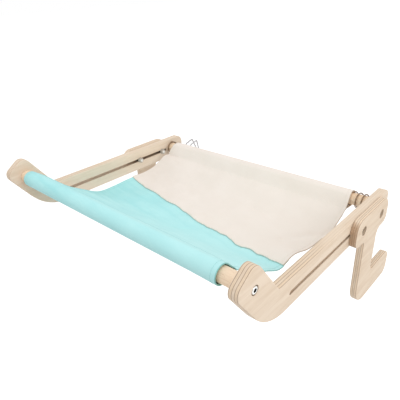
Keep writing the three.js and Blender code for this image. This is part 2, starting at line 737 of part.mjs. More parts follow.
const rearBores = hookBores(HOOK_SEAT - FIT, DOWEL_RADIUS + OVERRUN);
for (const bore of rearBores) bore.translate(0, -REAR_AXIS.x, -REAR_AXIS.y);
place(perch, "front_dowel", dowelGeometry([]), dowelWood, 0, FRONT_AXIS.x, FRONT_AXIS.y);
place(perch, "rear_dowel", dowelGeometry(rearBores), dowelWood, 0, REAR_AXIS.x, REAR_AXIS.y);

const sleeveBores = hookBores(DOWEL_RADIUS - OVERRUN, SLEEVE_OUTER - DOWEL_RADIUS + 2 * OVERRUN);
place(perch, "sling_front", panelGeometry(true), aquaCanvas, 0, 0, 0);
place(perch, "sling_rear", cutFrom(panelGeometry(false), sleeveBores), beigeCanvas, 0, 0, 0);

const leftSpace = LEFT_BARE_END - 2 * FIT;
const rightSpace = RIGHT_BARE_END - 2 * FIT;
const leftSpring = springGeometry("left_spring", leftSpace, LEFT_SPRING_TURNS);
const rightSpring = springGeometry("right_spring", rightSpace, RIGHT_SPRING_TURNS);
place(perch, "left_spring", leftSpring, springSteel, FIT - ARM_INNER, REAR_AXIS.x, REAR_AXIS.y);
place(perch, "right_spring", rightSpring, springSteel, SLING_RIGHT + FIT, REAR_AXIS.x, REAR_AXIS.y);
place(perch, "wire_hook", hookGeometry(), springSteel, 0, 0, 0);

export default perch;
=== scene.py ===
# Sling perch for a window sill, dressed for its picture: plywood arms and hook brackets, beech
# dowels, a two-colour canvas sling, wire springs, a wire hook and the fasteners.
# Metres, +X across, +Y back to the window, +Z up, with the origin on the sill's front edge.
import math

import bpy
from mathutils import Matrix, Vector


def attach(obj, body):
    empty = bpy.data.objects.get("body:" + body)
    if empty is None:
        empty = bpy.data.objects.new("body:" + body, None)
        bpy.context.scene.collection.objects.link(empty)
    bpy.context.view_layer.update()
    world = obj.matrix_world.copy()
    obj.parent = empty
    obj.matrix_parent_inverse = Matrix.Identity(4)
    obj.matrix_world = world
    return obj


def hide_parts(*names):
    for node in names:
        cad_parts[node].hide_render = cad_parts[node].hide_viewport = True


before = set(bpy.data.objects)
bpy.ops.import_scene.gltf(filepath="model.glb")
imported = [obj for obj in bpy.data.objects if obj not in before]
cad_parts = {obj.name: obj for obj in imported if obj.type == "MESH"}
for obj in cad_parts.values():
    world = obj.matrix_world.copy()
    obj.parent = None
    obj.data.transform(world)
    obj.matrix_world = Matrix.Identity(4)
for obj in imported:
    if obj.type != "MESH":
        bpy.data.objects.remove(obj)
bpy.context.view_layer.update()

# The picture's camera
FOCAL_MM = 37.10
FRAME_MM = 36.0
CAMERA_SPOT = (0.467865, -0.63129, 0.375115)
CAMERA_TURN = math.radians(43.48)
CAMERA_RISE = math.radians(27.27)
CAMERA_ROLL = math.radians(-2.92)


def set_camera():
    turn = Matrix.Rotation(CAMERA_TURN, 4, "Z")
    tilt = Matrix.Rotation(math.pi / 2 - CAMERA_RISE, 4, "X")
    roll = Matrix.Rotation(CAMERA_ROLL, 4, "Z")
    lens = bpy.data.cameras.new("picture camera")
    lens.lens = FOCAL_MM
    lens.sensor_width = FRAME_MM
    lens.clip_start = 0.01
    lens.clip_end = 100
    camera = bpy.data.objects.new("picture camera", lens)
    camera.matrix_world = Matrix.Translation(CAMERA_SPOT) @ turn @ tilt @ roll
    bpy.context.collection.objects.link(camera)
    bpy.context.scene.camera = camera


set_camera()


# Sizes of the frame, in millimetres, with places in (Y, Z)
MM = 0.001
QUARTER = math.pi / 2
SIDES = ((-1, "left"), (1, "right"))
GAP = 0.3  # between pieces that rest on each other
OVERRUN = 3.0  # how far a cutter reaches past what it cuts
STEP = 0.001  # how long a sharp step is in a turned profile
ARM_INNER = 250.0
ARM_OUTER = 265.0
ARM_DEPTH = 45.0
ARM_TURN = math.radians(54.5)
ARM_HEAD_WIDTH = 47.0
ARM_HEAD_REACH = 29.0
ARM_HEAD_ROUND = 14.0
ARM_HEEL = 80.0
ARM_CROOK = 8.0
ARM_TAIL = 38.0
ARM_REAR_ROUND = 15.0
ARM_RECESS = 6.7
ARM_RECESS_DEPTH = 6.5
BRACKET_INNER = 265.3
BRACKET_OUTER = 277.3
BRACKET_RECESS = 8.0
BRACKET_RECESS_DEPTH = 7.0
EDGE_ROUND = 1.3
HOLE_EASE = 0.5
BOLT_HOLE = 3.3
SLOT_LINE = 24.0
SLOT_WIDTH = 6.6
SLOT_FRONT = -258.0
SLOT_REAR = 11.0
REAR_AXIS = Vector((31.0, 25.8))
FRONT_AXIS = Vector((-337.0, 78.5))
AXES = {"front": FRONT_AXIS, "rear": REAR_AXIS}
DOWEL_RADIUS = 11.0
DOWEL_EASE = 0.8
INSERT_BORE = 5.3
INSERT_DEPTH = 14.3
CLAMP_SPOTS = {"front": -59.5, "rear": 10.5}
ADVANCES = {"left": 11.0, "right": 0.0}  # how far forward each bracket stands
SLING_LEFT = -232.0
SLING_RIGHT = 216.0
SLING_WIDTH = SLING_RIGHT - SLING_LEFT


# Shader building
class Socket:
    """A shader socket that plain arithmetic works on."""

    def __init__(self, finish, socket):
        self.finish = finish
        self.socket = socket

    def maths(self, operation, *values):
        return self.finish.maths(operation, *values)

    def __add__(self, other):
        return self.maths("ADD", self, other)

    def __radd__(self, other):
        return self.maths("ADD", other, self)

    def __sub__(self, other):
        return self.maths("SUBTRACT", self, other)

    def __rsub__(self, other):
        return self.maths("SUBTRACT", other, self)

    def __mul__(self, other):
        return self.maths("MULTIPLY", self, other)

    def __rmul__(self, other):
        return self.maths("MULTIPLY", other, self)

    def __truediv__(self, other):
        return self.maths("DIVIDE", self, other)

    def __rtruediv__(self, other):
        return self.maths("DIVIDE", other, self)

    def __abs__(self):
        return self.maths("ABSOLUTE", self)

    def __gt__(self, other):
        return self.maths("GREATER_THAN", self, other)

    def __lt__(self, other):
        return self.maths("LESS_THAN", self, other)

    def fraction(self):
        return self.maths("FRACT", self)

    def sine(self):
        return self.maths("SINE", self)


class Finish:
    """The shader of one material or of the room. Every node comes from node()."""

    def __init__(self, owner):
        owner.use_nodes = True
        self.owner = owner
        self.tree = owner.node_tree
        self.tree.nodes.clear()

    def node(self, kind, settings=None, inputs=None, output=0):
        made = self.tree.nodes.new("ShaderNode" + kind)
        for name, value in (settings or {}).items():
            setattr(made, name, value)
        for name, value in (inputs or {}).items():
            if isinstance(value, Socket):
                self.tree.links.new(value.socket, made.inputs[name])
            else:
                made.inputs[name].default_value = value
        return Socket(self, made.outputs[output]) if made.outputs else None

    def maths(self, operation, *values):
        return self.node("Math", {"operation": operation}, dict(enumerate(values)))

    def seen_directly(self):
        """1 for rays from the camera and from reflections, 0 for all others."""
        direct = self.node("LightPath", output="Is Camera Ray")
        mirrored = self.node("LightPath", output="Is Glossy Ray")
        return self.maths("MAXIMUM", direct, mirrored)

    def place(self):
        """Where a point lies on the object."""
        return self.node("TexCoord", output="Object")

    def cloth_place(self):
        """Where a point lies on the flat cloth, in metres."""
        return self.node("TexCoord", output="UV")

    def apart(self, vector):
        """The three numbers of a vector."""
        split = self.node("SeparateXYZ", inputs={"Vector": vector})
        outputs = split.socket.node.outputs
        return [Socket(self, outputs[axis]) for axis in "XYZ"]

    def noise(self, vector, scale, detail=2.0, roughness=0.5):
        inputs = {"Vector": vector, "Scale": scale, "Detail": detail, "Roughness": roughness}
        return self.node("TexNoise", inputs=inputs)

    def streaks(self, vector, factors, detail=2.0, roughness=0.5, scale=1.0):
        """Noise whose scale differs by direction."""
        scaled = self.node("VectorMath", {"operation": "MULTIPLY"}, {0: vector, 1: factors})
        return self.noise(scaled, scale, detail, roughness)

    def between(self, value, low=0.3, high=0.7, first=0.0, last=1.0):
        """Runs smoothly from first to last while value runs from low to high."""
        inputs = dict(enumerate((value, low, high, first, last)))
        return self.node("MapRange", {"interpolation_type": "SMOOTHSTEP"}, inputs)

    def mixed(self, share, *colours):
        """One colour at share 0, the other at share 1. Plain ones are as they're read on screen."""
        first, second = (tone if isinstance(tone, Socket) else paint(*tone) for tone in colours)
        return self.node("Mix", {"data_type": "RGBA"}, {0: share, 6: first, 7: second}, output=2)

    def bumped(self, height, distance, strength):
        """Fine relief, its distance in metres."""
        inputs = {"Height": height, "Distance": distance, "Strength": strength}
        return self.node("Bump", inputs=inputs)

    def shade(self, **inputs):
        """Finishes the material. Underscores in a socket's name stand for spaces."""
        sockets = {name.replace("_", " "): value for name, value in inputs.items()}
        self.node("OutputMaterial", inputs={"Surface": self.node("BsdfPrincipled", inputs=sockets)})
        return self.owner


def finish_named(name):
    return Finish(bpy.data.materials.new(name))


def paint(red, green, blue):
    """A colour as it is read on screen, from 0 to 255, in linear light."""
    def linear(value):
        share = value / 255
        return share / 12.92 if share <= 0.04045 else ((share + 0.055) / 1.055) ** 2.4

    return (linear(red), linear(green), linear(blue), 1.0)


# Wood
PLIES = 3.75  # middle plies that would fill a board: three of them and two thin veneers
FIRST_GLUE = 0.625  # so that the glue lines fall on whole numbers
GRAIN = 900.0
GRAIN_ALONG = 26.0
LONG_FLECK = (206, 179, 149)
GLUE_BROWN = (122, 82, 58)
# painted shade for the arm's slot
SLOT_SHADE_BROWN = (104, 76, 50)
# end-grain tones darkened with painted shade, for the right bracket's front end
END_GRAIN_SHADE = ((198, 170, 142), (178, 148, 118))
# Where painted light and shade fade, in metres: the painted light up the arm's top and behind its
# bend, and the painted shade along its slot and at the bracket's front end
TOP_FADE = (0.042, 0.047)
BEND_FADE = (-0.22, -0.13)
SLOT_SHADE_FADE = (-0.13, -0.06)
END_SHADE_FADE = (-0.085, -0.074)


def plywood_finish(name, inner, outer, figuring, faces, cores, slotted):
    """Birch plywood across X: two thin outer veneers and three thicker plies, with dark glue."""
    wood = finish_named(name)
    place = wood.place()
    x, y, z = wood.apart(place)
    wander = wood.streaks(place, (0.0, 38.0, 38.0), 1.0)
    depth = (abs(x) - inner * MM) / ((outer - inner) * MM) * PLIES + FIRST_GLUE
    depth = depth + (wander - 0.5) * 0.12
    inside = (depth > 0.9) * (depth < 4.1)
    crosswise = wood.between((depth / 2).fraction(), 0.49, 0.51) * inside
    glue = wood.between(abs((depth + 0.5).fraction() - 0.5), 0.05, 0.12, 1.0, 0.0)
    long_grain = wood.streaks(place, (GRAIN, GRAIN_ALONG, GRAIN), 4.0, 0.6)
    cross_grain = wood.between(wood.streaks(place, (GRAIN, GRAIN, GRAIN_ALONG), 4.0, 0.6))
    figure = wood.streaks(place, (30.0, 3.2, 30.0), 5.0, 0.62, figuring)
    if slotted:
        # painted light: the arm's lit top behind its bend shows the plies' edges and glue lines
        # faded
        below = wood.between(z, *TOP_FADE, 1.0, 0.2)
        shown = wood.maths("MAXIMUM", below, wood.between(y, *BEND_FADE, 1.0, 0.0))
        crosswise = crosswise * shown
        glue = glue * shown
    face = wood.mixed(wood.between(figure, 0.35, 0.68), *faces)
    face = wood.mixed(wood.between(long_grain, 0.52, 0.78) * 0.3, face, LONG_FLECK)
    sides = wood.mixed(crosswise, face, wood.mixed(cross_grain, *cores))
    if slotted:
        # painted shade on the slot's walls, darker towards the rear
        reach = SLOT_WIDTH / 2 + 0.1
        slot_shade = (z > (SLOT_LINE - reach) * MM) * (z < (SLOT_LINE + reach) * MM) * inside
        slot_shade = slot_shade * wood.between(y, *SLOT_SHADE_FADE, 0.15, 0.5)
        sides = wood.mixed(slot_shade, sides, SLOT_SHADE_BROWN)
    else:
        # the right bracket's front end: its end grain, darkened with painted shade
        end = wood.between(y, *END_SHADE_FADE, 1.0, 0.0) * (depth > 1) * (depth < 4) * (x > 0)
        sides = wood.mixed(end, sides, wood.mixed(cross_grain, *END_GRAIN_SHADE))
    colour = wood.mixed(glue * 0.68, sides, GLUE_BROWN)
    rough = wood.between(long_grain, first=0.56, last=0.7)
    height = long_grain * 0.6 + figure * 0.25 - glue * 0.8 - crosswise * 0.25
    return wood.shade(Base_Color=colour, Roughness=rough, Normal=wood.bumped(height, 0.00022, 0.6))


def dowel_finish():
    """Turned beech: fine straight grain along X with short darker flecks."""
    wood = finish_named("turned beech")
    place = wood.place()
    grain = wood.streaks(place, (14.0, 420.0, 420.0), 4.0, 0.6)
    fleck = wood.streaks(place, (160.0, 1500.0, 1500.0), 1.0)
    figure = wood.streaks(place, (2.5, 26.0, 26.0), 4.0, scale=1.6)
    colour = wood.mixed(wood.between(figure, 0.35, 0.65), (252, 228, 200), (244, 214, 181))
    colour = wood.mixed(wood.between(grain, 0.5, 0.72) * 0.4, colour, (214, 178, 140))
    colour = wood.mixed(wood.between(fleck, 0.66, 0.74) * 0.45, colour, (186, 142, 102))
    rough = wood.between(grain, first=0.46, last=0.6)
    return wood.shade(Base_Color=colour, Roughness=rough, Normal=wood.bumped(grain, 0.00012, 0.5))


# Canvas
WEAVE_PITCH = 1.1
# painted shade along each side edge of the canvas, where its hem folds under
SIDE_LINE = (1.2, 0.4)  # how far from a side edge its darker line starts, and where it is full


def canvas_finish(name, light, shaded, right_light_and_shade, seam_shadow, side_edge_shade, streaked):
    """Plain-woven canvas: crossing threads, slubs and mottling, with painted shade in lines along
    its seam and its side edges and a painted tone of light towards its right side.
    """
    cloth = finish_named(name)
    place = cloth.cloth_place()
    u, v = cloth.apart(place)[:2]
    turn = 2 * math.pi / (WEAVE_PITCH * MM)
    weave = (u * turn).sine() * (v * turn).sine()
    slub_across = cloth.between(cloth.streaks(place, (60.0, 1400.0, 1.0)), 0.45, 0.75)
    slub_along = cloth.between(cloth.streaks(place, (1400.0, 60.0, 1.0)), 0.45, 0.75)
    slub = slub_across + slub_along
    mottle = cloth.noise(place, 14.0, 4.0, 0.6)
    streak = cloth.streaks(place, (3.0, 42.0, 1.0), 3.0, 0.6)
    colour = cloth.mixed(cloth.between(mottle) * 0.45, light, shaded)
    colour = cloth.mixed(cloth.between(streak, 0.42, 0.66) * streaked, colour, shaded)
    colour = cloth.mixed(slub * 0.2, colour, shaded)
    width = SLING_WIDTH * MM
    # painted light and shade across the sling: towards the right side the tone given for it,
    # lighter on the aqua and darker on the beige
    colour = cloth.mixed(cloth.between(u, 0.0, width, 0.0, 0.6), colour, right_light_and_shade)
    colour = cloth.mixed(cloth.between(weave, -0.2, 0.9) * 0.12, colour, shaded)
    # painted shadow in a line along the seam: on the aqua, cast by the beige's folded edge, and on
    # that folded edge of the beige
    past, full, faded, seam_shadow_tone = seam_shadow
    colour = cloth.mixed(cloth.between(abs(v - past), full, faded, 0.8, 0.0), colour, seam_shadow_tone)
    # painted shade in a line along each side edge
    rim = cloth.between(abs(u - width / 2), *(width / 2 - inset * MM for inset in SIDE_LINE))
    colour = cloth.mixed(rim * 0.7, colour, side_edge_shade)
    return cloth.shade(
        Base_Color=colour,
        Roughness=cloth.between(mottle, first=0.84, last=0.95),
        Normal=cloth.bumped(weave * 0.5 + slub * 0.35, 0.00015, 0.5),
        Sheen_Weight=0.15,
        Specular_IOR_Level=0.25,
    )


def thread_finish(name, light, dark):
    """Twisted sewing thread with a dull, slightly uneven colour."""
    thread = finish_named(name)
    strands = thread.noise(thread.place(), 1800.0, 2.0)
    colour = thread.mixed(thread.between(strands, 0.35, 0.65), light, dark)
    relief = thread.bumped(strands, 0.00006, 0.5)
    return thread.shade(Base_Color=colour, Roughness=0.8, Normal=relief)


# Metal
def metal_finish(name, light, dark, smoothest, roughest, metallic=1.0, tip=None):
    """Drawn or turned metal. A bolt's tip has tones of its own past the arm's inner face."""
    metal = finish_named(name)
    place = metal.place()
    scratch = metal.streaks(place, (2600.0, 500.0, 500.0), 3.0, 0.7)
    cloud = metal.between(metal.noise(place, 300.0, 3.0))
    colour = metal.mixed(cloud, light, dark)
    if tip:
        past = abs(metal.apart(place)[0])
        past = metal.between(past, ARM_INNER * MM, (ARM_INNER + 2) * MM, 1.0, 0.0)
        colour = metal.mixed(past, colour, metal.mixed(cloud, *tip))
    rough = metal.between(scratch, first=smoothest, last=roughest)
    relief = metal.bumped(scratch, 0.00004, 0.4)
    return metal.shade(Base_Color=colour, Roughness=rough, Metallic=metallic, Normal=relief)


# The materials, with their lighter and darker tones
ARM_FACES = ((234, 216, 195), (222, 201, 177))
ARM_CORES = ((232, 211, 186), (221, 197, 168))
BRACKET_FACES = ((231, 212, 189), (220, 198, 173))
BRACKET_CORES = ((238, 216, 190), (226, 201, 173))
ARM_PLYWOOD = plywood_finish(
    "arm plywood", ARM_INNER, ARM_OUTER, 2.2, ARM_FACES, ARM_CORES, True
)
BRACKET_PLYWOOD = plywood_finish(
    "bracket plywood", BRACKET_INNER, BRACKET_OUTER, 2.9, BRACKET_FACES, BRACKET_CORES, False
)
BEECH = dowel_finish()
AQUA = canvas_finish(
    "aqua canvas",
    (186, 239, 240),
    (154, 222, 225),
    # painted light towards the right side
    (196, 241, 241),
    # painted shadow along the seam, cast by the beige's folded edge
    (0.0006, 0.0003, 0.0014, (158, 204, 201)),
    # painted shade along the side edges
    (128, 196, 195),
    0.5,
)
BEIGE = canvas_finish(
    "beige canvas",
    (243, 233, 225),
    (230, 219, 208),
    # painted shade towards the right side
    (241, 232, 222),
    # painted shade on the beige's folded edge at the seam
    (0.0, 0.0001, 0.0005, (224, 217, 206)),
    # painted shade along the side edges
    (190, 168, 144),
    0.12,
)
AQUA_THREAD = thread_finish("aqua thread", (168, 223, 223), (146, 207, 208))
BEIGE_THREAD = thread_finish("beige thread", (247, 243, 234), (222, 211, 197))
BRIGHT_STEEL = metal_finish("zinc plated steel", (240, 240, 237), (226, 226, 222), 0.24, 0.4)
DULL_STEEL = metal_finish("dull zinc plating", (204, 196, 185), (182, 173, 162), 0.56, 0.72, 0.35)
# painted shade inside the bolts' sockets
SOCKET_SHADE = metal_finish("painted socket shade", (52, 54, 52), (30, 31, 30), 0.44, 0.6, 0.6)
PLATED_TIP = ((248, 246, 242), (232, 229, 224))
# the head's dark tones are painted shade of its recess; the tip has its plated tone
BOLT_STEEL = metal_finish(
    "head with painted shade and plated tip", (46, 37, 30), (31, 25, 21), 0.32, 0.46, 0.85, PLATED_TIP
)
BRASS = metal_finish("insert brass", (206, 172, 98), (180, 146, 78), 0.28, 0.44)
SPRING_WIRE = metal_finish("spring wire", (164, 137, 112), (125, 102, 82), 0.34, 0.5, 0.7)
HOOK_WIRE = metal_finish("hook wire", (198, 195, 196), (166, 163, 165), 0.34, 0.5, 0.6)


# Modelling
def pick(piece=None):
    """Selects one piece alone, or nothing."""
    bpy.ops.object.select_all(action="DESELECT")
    if piece is not None:
        piece.select_set(True)
        bpy.context.view_layer.objects.active = piece


def started(name):
    """Names the piece that was just added and puts its place into its mesh."""
    piece = bpy.context.object
    piece.name = name
    bpy.ops.object.transform_apply(location=True, rotation=True, scale=True)
    return piece


def open_mesh(action="SELECT"):
    bpy.ops.object.mode_set(mode="EDIT")
    bpy.ops.mesh.select_all(action=action)


def close_mesh():
    bpy.ops.object.mode_set(mode="OBJECT")


def close_outward():
    """Turns all faces of the open mesh outwards and closes it."""
    bpy.ops.mesh.select_all(action="SELECT")
    bpy.ops.mesh.normals_make_consistent(inside=False)
    close_mesh()


def extrude(way):
    bpy.ops.mesh.extrude_region_move(TRANSFORM_OT_translate={"value": way})


def smoothed(piece, limit=35.0):
    """Smooths what isn't an edge."""
    pick(piece)
    bpy.ops.object.shade_smooth_by_angle(angle=math.radians(limit))
    return piece


def modified(piece, kind, **settings):
    """Adds a modifier and applies it at once."""
    pick(piece)
    change = piece.modifiers.new(kind.lower(), kind)
    for name, value in settings.items():
        setattr(change, name, value)
    bpy.ops.object.modifier_apply(modifier=change.name)
    return piece


def shaped(piece, operation, *tools):
    """Cuts or trims a piece with other shapes and removes them."""
    for tool in tools:
        modified(piece, "BOOLEAN", operation=operation, solver="EXACT", object=tool)
        bpy.data.objects.remove(tool)
    return piece


def turned(name, sides, spot, profile):
    """A piece turned about a line along X, as (place along X, radius) pairs in millimetres."""
    first, radius = profile[0]
    pick()
    bpy.ops.mesh.primitive_circle_add(
        vertices=sides,
        radius=radius * MM,
        fill_type="NGON",
        location=(first * MM, spot[0] * MM, spot[1] * MM),
        rotation=(0, QUARTER, 0),
    )
    piece = started(name)
    open_mesh()
    for along, wider in profile[1:]:
        extrude(((along - first) * MM, 0, 0))
        if wider != radius:
            bpy.ops.transform.resize(
                value=(1, wider / radius, wider / radius),
                center_override=(along * MM, spot[0] * MM, spot[1] * MM),
            )
        first, radius = along, wider
    close_outward()
    return piece


def arc_steps(radius, sweep, miss=0.025):
    """How many straight steps keep an arc within a small miss."""
    step = 2 * math.acos(1 - miss / radius)
    return max(4, math.ceil(abs(sweep) / step))


def traced(name, x, arcs):
    """A flat outline at x, traced by one moving point through straight runs and arcs.
    Each arc is its centre's Y and Z, its radius, where it starts and how far it sweeps."""
    pick()
    bpy.ops.mesh.primitive_plane_add(size=MM, location=(x * MM, 0, 0), rotation=(0, QUARTER, 0))
    piece = started(name)
    open_mesh()
    bpy.ops.mesh.merge(type="CENTER")
    here = Vector((x, 0, 0))
    start = None
    for y, z, radius, turn, sweep in arcs:
        first = Vector((x, y + radius * math.cos(turn), z + radius * math.sin(turn)))
        if start is None:
            start = first
            bpy.ops.transform.translate(value=(first - here) * MM)
        else:
            extrude((first - here) * MM)
        bpy.ops.mesh.spin(
            steps=arc_steps(radius, sweep),
            angle=-sweep,
            center=(x * MM, y * MM, z * MM),
            axis=(1, 0, 0),
        )
        end = turn + sweep
        here = Vector((x, y + radius * math.cos(end), z + radius * math.sin(end)))
    extrude((start - here) * MM)
    bpy.ops.mesh.select_all(action="SELECT")
    bpy.ops.mesh.remove_doubles(threshold=1e-6)
    bpy.ops.mesh.edge_face_add()
    close_mesh()
    return piece


def thickened(piece, thickness):
    """Draws a filled outline out along X into a closed plate."""
    pick(piece)
    open_mesh()
    extrude((thickness * MM, 0, 0))
    close_outward()
    return piece


def low_end(side, inner, outer):
    """The lower X of what lies between two distances from the middle, on one side."""
    return inner if side > 0 else -outer


def board(name, side, inner, outer, arcs):
    """A board with rounded edges between two distances from the middle."""
    plate = thickened(traced(name, low_end(side, inner, outer), arcs), outer - inner)
    edges = {"limit_method": "ANGLE", "angle_limit": math.radians(60)}
    return modified(plate, "BEVEL", width=EDGE_ROUND * MM, segments=3, **edges)


def coat(piece, material):
    piece.data.materials.clear()
    piece.data.materials.append(material)


def finished(piece, material, body, slot, *nodes):
    """Gives a piece its material, the body that it moves with and the nodes that it stands for."""
    coat(piece, material)
    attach(piece, body)
    if nodes:
        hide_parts(*nodes)
    return piece


# Side arms, with the directions along their turned-up heads and across them to the window
HEAD_UP = Vector((-math.cos(ARM_TURN), math.sin(ARM_TURN)))
HEAD_BACK = Vector((math.sin(ARM_TURN), math.cos(ARM_TURN)))


def on_head_line(offset, height):
    """The spot at a height on the line that runs along the head at an offset from its bolt."""
    start = FRONT_AXIS + HEAD_BACK * offset
    return start + HEAD_UP * ((height - start.y) / HEAD_UP.y)


def head_corner(side):
    """The middle of a rounded corner at the head's end."""
    aside = HEAD_BACK * side * (ARM_HEAD_WIDTH / 2 - ARM_HEAD_ROUND)
    return FRONT_AXIS + aside + HEAD_UP * (ARM_HEAD_REACH - ARM_HEAD_ROUND)


def arm_arcs():
    top = SLOT_LINE + ARM_DEPTH / 2
    bottom = SLOT_LINE - ARM_DEPTH / 2
    end = REAR_AXIS.x + ARM_TAIL - ARM_REAR_ROUND
    lean = QUARTER - ARM_TURN
    crook = on_head_line(ARM_HEAD_WIDTH / 2 + ARM_CROOK, top + ARM_CROOK)
    heel = on_head_line(ARM_HEEL - ARM_HEAD_WIDTH / 2, bottom + ARM_HEEL)
    rear = head_corner(1)
    front = head_corner(-1)
    return [
        (end, bottom + ARM_REAR_ROUND, ARM_REAR_ROUND, -QUARTER, QUARTER),
        (end, top - ARM_REAR_ROUND, ARM_REAR_ROUND, 0, QUARTER),
        (crook.x, crook.y, ARM_CROOK, -QUARTER, -ARM_TURN),
        (rear.x, rear.y, ARM_HEAD_ROUND, lean, QUARTER),
        (front.x, front.y, ARM_HEAD_ROUND, lean + QUARTER, QUARTER),
        (heel.x, heel.y, ARM_HEEL, lean + 2 * QUARTER, ARM_TURN),
    ]


def slot_cutter(side):
    """The slot's shape, longer than the arm is thick."""
    radius = SLOT_WIDTH / 2
    arcs = [
        (SLOT_REAR, SLOT_LINE, radius, -QUARTER, 2 * QUARTER),
        (SLOT_FRONT, SLOT_LINE, radius, QUARTER, 2 * QUARTER),
    ]
    outline = traced("slot cutter", low_end(side, ARM_INNER, ARM_OUTER) - OVERRUN, arcs)
    return thickened(outline, ARM_OUTER - ARM_INNER + 2 * OVERRUN)


def bore_cutter(spot, side, inner, outer, recess, depth):
    """A bolt hole with a round recess in the outer face. The edges of both are eased."""
    far = side * inner
    face = side * outer
    floor = face - side * depth
    profile = [
        (far - side * OVERRUN, BOLT_HOLE + OVERRUN),
        (far, BOLT_HOLE + HOLE_EASE),
        (far + side * HOLE_EASE, BOLT_HOLE),
        (floor, BOLT_HOLE),
        (floor + side * STEP, recess),
        (face - side * HOLE_EASE, recess),
        (face, recess + HOLE_EASE),
        (face + side * OVERRUN, recess + HOLE_EASE + OVERRUN),
    ]
    return turned("bore cutter", 48, spot, profile)


def make_arm(side, label):
    arm = board(label + "_side_arm", side, ARM_INNER, ARM_OUTER, arm_arcs())
    cutters = [slot_cutter(side)]
    for axis in AXES.values():
        cutters.append(bore_cutter(axis, side, ARM_INNER, ARM_OUTER, ARM_RECESS, ARM_RECESS_DEPTH))
    shaped(arm, "DIFFERENCE", *cutters)
    return finished(smoothed(arm), ARM_PLYWOOD, "frame", "plywood", label + "_arm")


# Hook brackets
# The outline's arcs: centre in (Y, Z), radius, the quarter where it starts and which way it turns
BRACKET_QUARTERS = (
    (73.5, -104.0, 16.0, 0, 1),
    (12.0, -76.0, 12.0, 3, -1),
    (14.0, -14.0, 14.0, 2, -1),
    (23.0, 14.0, 14.0, 3, 1),
    (17.0, 28.0, 20.0, 0, 1),
    (-67.0, 28.0, 20.0, 1, 1),
    (-73.0, 14.0, 14.0, 2, 1),
    (-59.0, -8.0, 8.0, 1, -1),
    (-13.0, -101.0, 38.0, 2, 1),
    (73.5, -123.0, 16.0, 3, 1),
)


def make_bracket(side, label):
    advance = ADVANCES[label]
    inner, outer = BRACKET_INNER, BRACKET_OUTER
    arcs = [
        (y - advance, z, radius, start * QUARTER, way * QUARTER)
        for y, z, radius, start, way in BRACKET_QUARTERS
    ]
    bracket = board(label + "_hook_bracket", side, inner, outer, arcs)
    cutters = []
    for along in CLAMP_SPOTS.values():
        spot = (along - advance, SLOT_LINE)
        cutters.append(bore_cutter(spot, side, inner, outer, BRACKET_RECESS, BRACKET_RECESS_DEPTH))
    shaped(bracket, "DIFFERENCE", *cutters)
    body = label + "_bracket"
    return finished(smoothed(bracket), BRACKET_PLYWOOD, body, "plywood", body)


for side, label in SIDES:
    make_arm(side, label)
    make_bracket(side, label)


# Dowels
def make_dowel(label, axis):
    """A turned dowel with eased ends, bored for its two inserts."""
    end = ARM_INNER - GAP
    profile = [
        (-end, DOWEL_RADIUS - DOWEL_EASE),
        (DOWEL_EASE - end, DOWEL_RADIUS),
        (end - DOWEL_EASE, DOWEL_RADIUS),
        (end, DOWEL_RADIUS - DOWEL_EASE),
    ]
    dowel = turned(label + "_turned_dowel", 64, axis, profile)
    for side, _ in SIDES:
        reach = [side * (end + OVERRUN), side * (end - INSERT_DEPTH)]
        bore = turned("insert bore", 32, axis, [(along, INSERT_BORE) for along in reach])
        shaped(dowel, "DIFFERENCE", bore)
    return finished(smoothed(dowel), BEECH, "frame", "dowel_wood", label + "_dowel")


# Fasteners, in millimetres
# A bolt: its head's radius and height, its length, its thread's, and its socket's width and depth
CAP_SCREW = (5.2, 6.0, 21.1, 10.0, 5.0, 3.2)
CLAMP_BOLT = (6.5, 3.5, 29.3, 14.0, 4.0, 2.2)
BOLT_RADIUS = 3.0
# A head's rounded edge: how far below its face, and how far inside its radius
HEAD_EDGE = ((0.0, 1.0), (0.15, 0.5), (0.5, 0.12), (1.0, 0.0))
HEAD_UNDERCUT = 0.2
SCREW_PITCH = 1.0
SCREW_DEPTH = 0.35
CREST = 0.15  # how far along a thread's turn its full width ends
TIP_LENGTH = 0.6
TIP_TAPER = 0.7
SOCKET_FLARE = 0.35  # how deep the socket's mouth is widened
SOCKET_MOUTH = 1.4  # how much wider the flare is 1 mm outside it
WASHER_RADIUS = 6.0
WASHER_THICKNESS = 1.6
WASHER_EASE = 0.2
NUT_FLATS = 10.0
NUT_HEIGHT = 5.0
NUT_CHAMFER = 0.7  # how far along the nut its corners and its bore are chamfered
NUT_BORE = 3.1


def hexagon(name, spot, low, high, flats):
    return turned(name, 6, spot, [(low, flats / math.sqrt(3)), (high, flats / math.sqrt(3))])


def add_thread(profile, start, end, way):
    """Adds a screw thread's ridges and a tapered tip to a bolt's profile."""
    for turn in range(int(abs(end - start) / SCREW_PITCH)):
        along = start + way * turn * SCREW_PITCH
        profile.append((along + way * CREST, BOLT_RADIUS))
        profile.append((along + way * SCREW_PITCH / 2, BOLT_RADIUS - SCREW_DEPTH))
    profile.append((end - way * TIP_LENGTH, BOLT_RADIUS))
    profile.append((end, BOLT_RADIUS - TIP_TAPER))


def darken_socket(bolt, spot, side, face, flats, depth):
    """Gives the faces inside a bolt's socket painted shade, as a dark finish of their own."""
    reach = flats / math.sqrt(3) + 0.5
    bolt.data.materials.append(SOCKET_SHADE)
    for panel in bolt.data.polygons:
        off = math.hypot(panel.center.y - spot[0] * MM, panel.center.z - spot[1] * MM)
        below = (face * MM - panel.center.x) * side
        if off < reach * MM and 0.05 * MM < below < (depth + 0.3) * MM:
            panel.material_index = 1


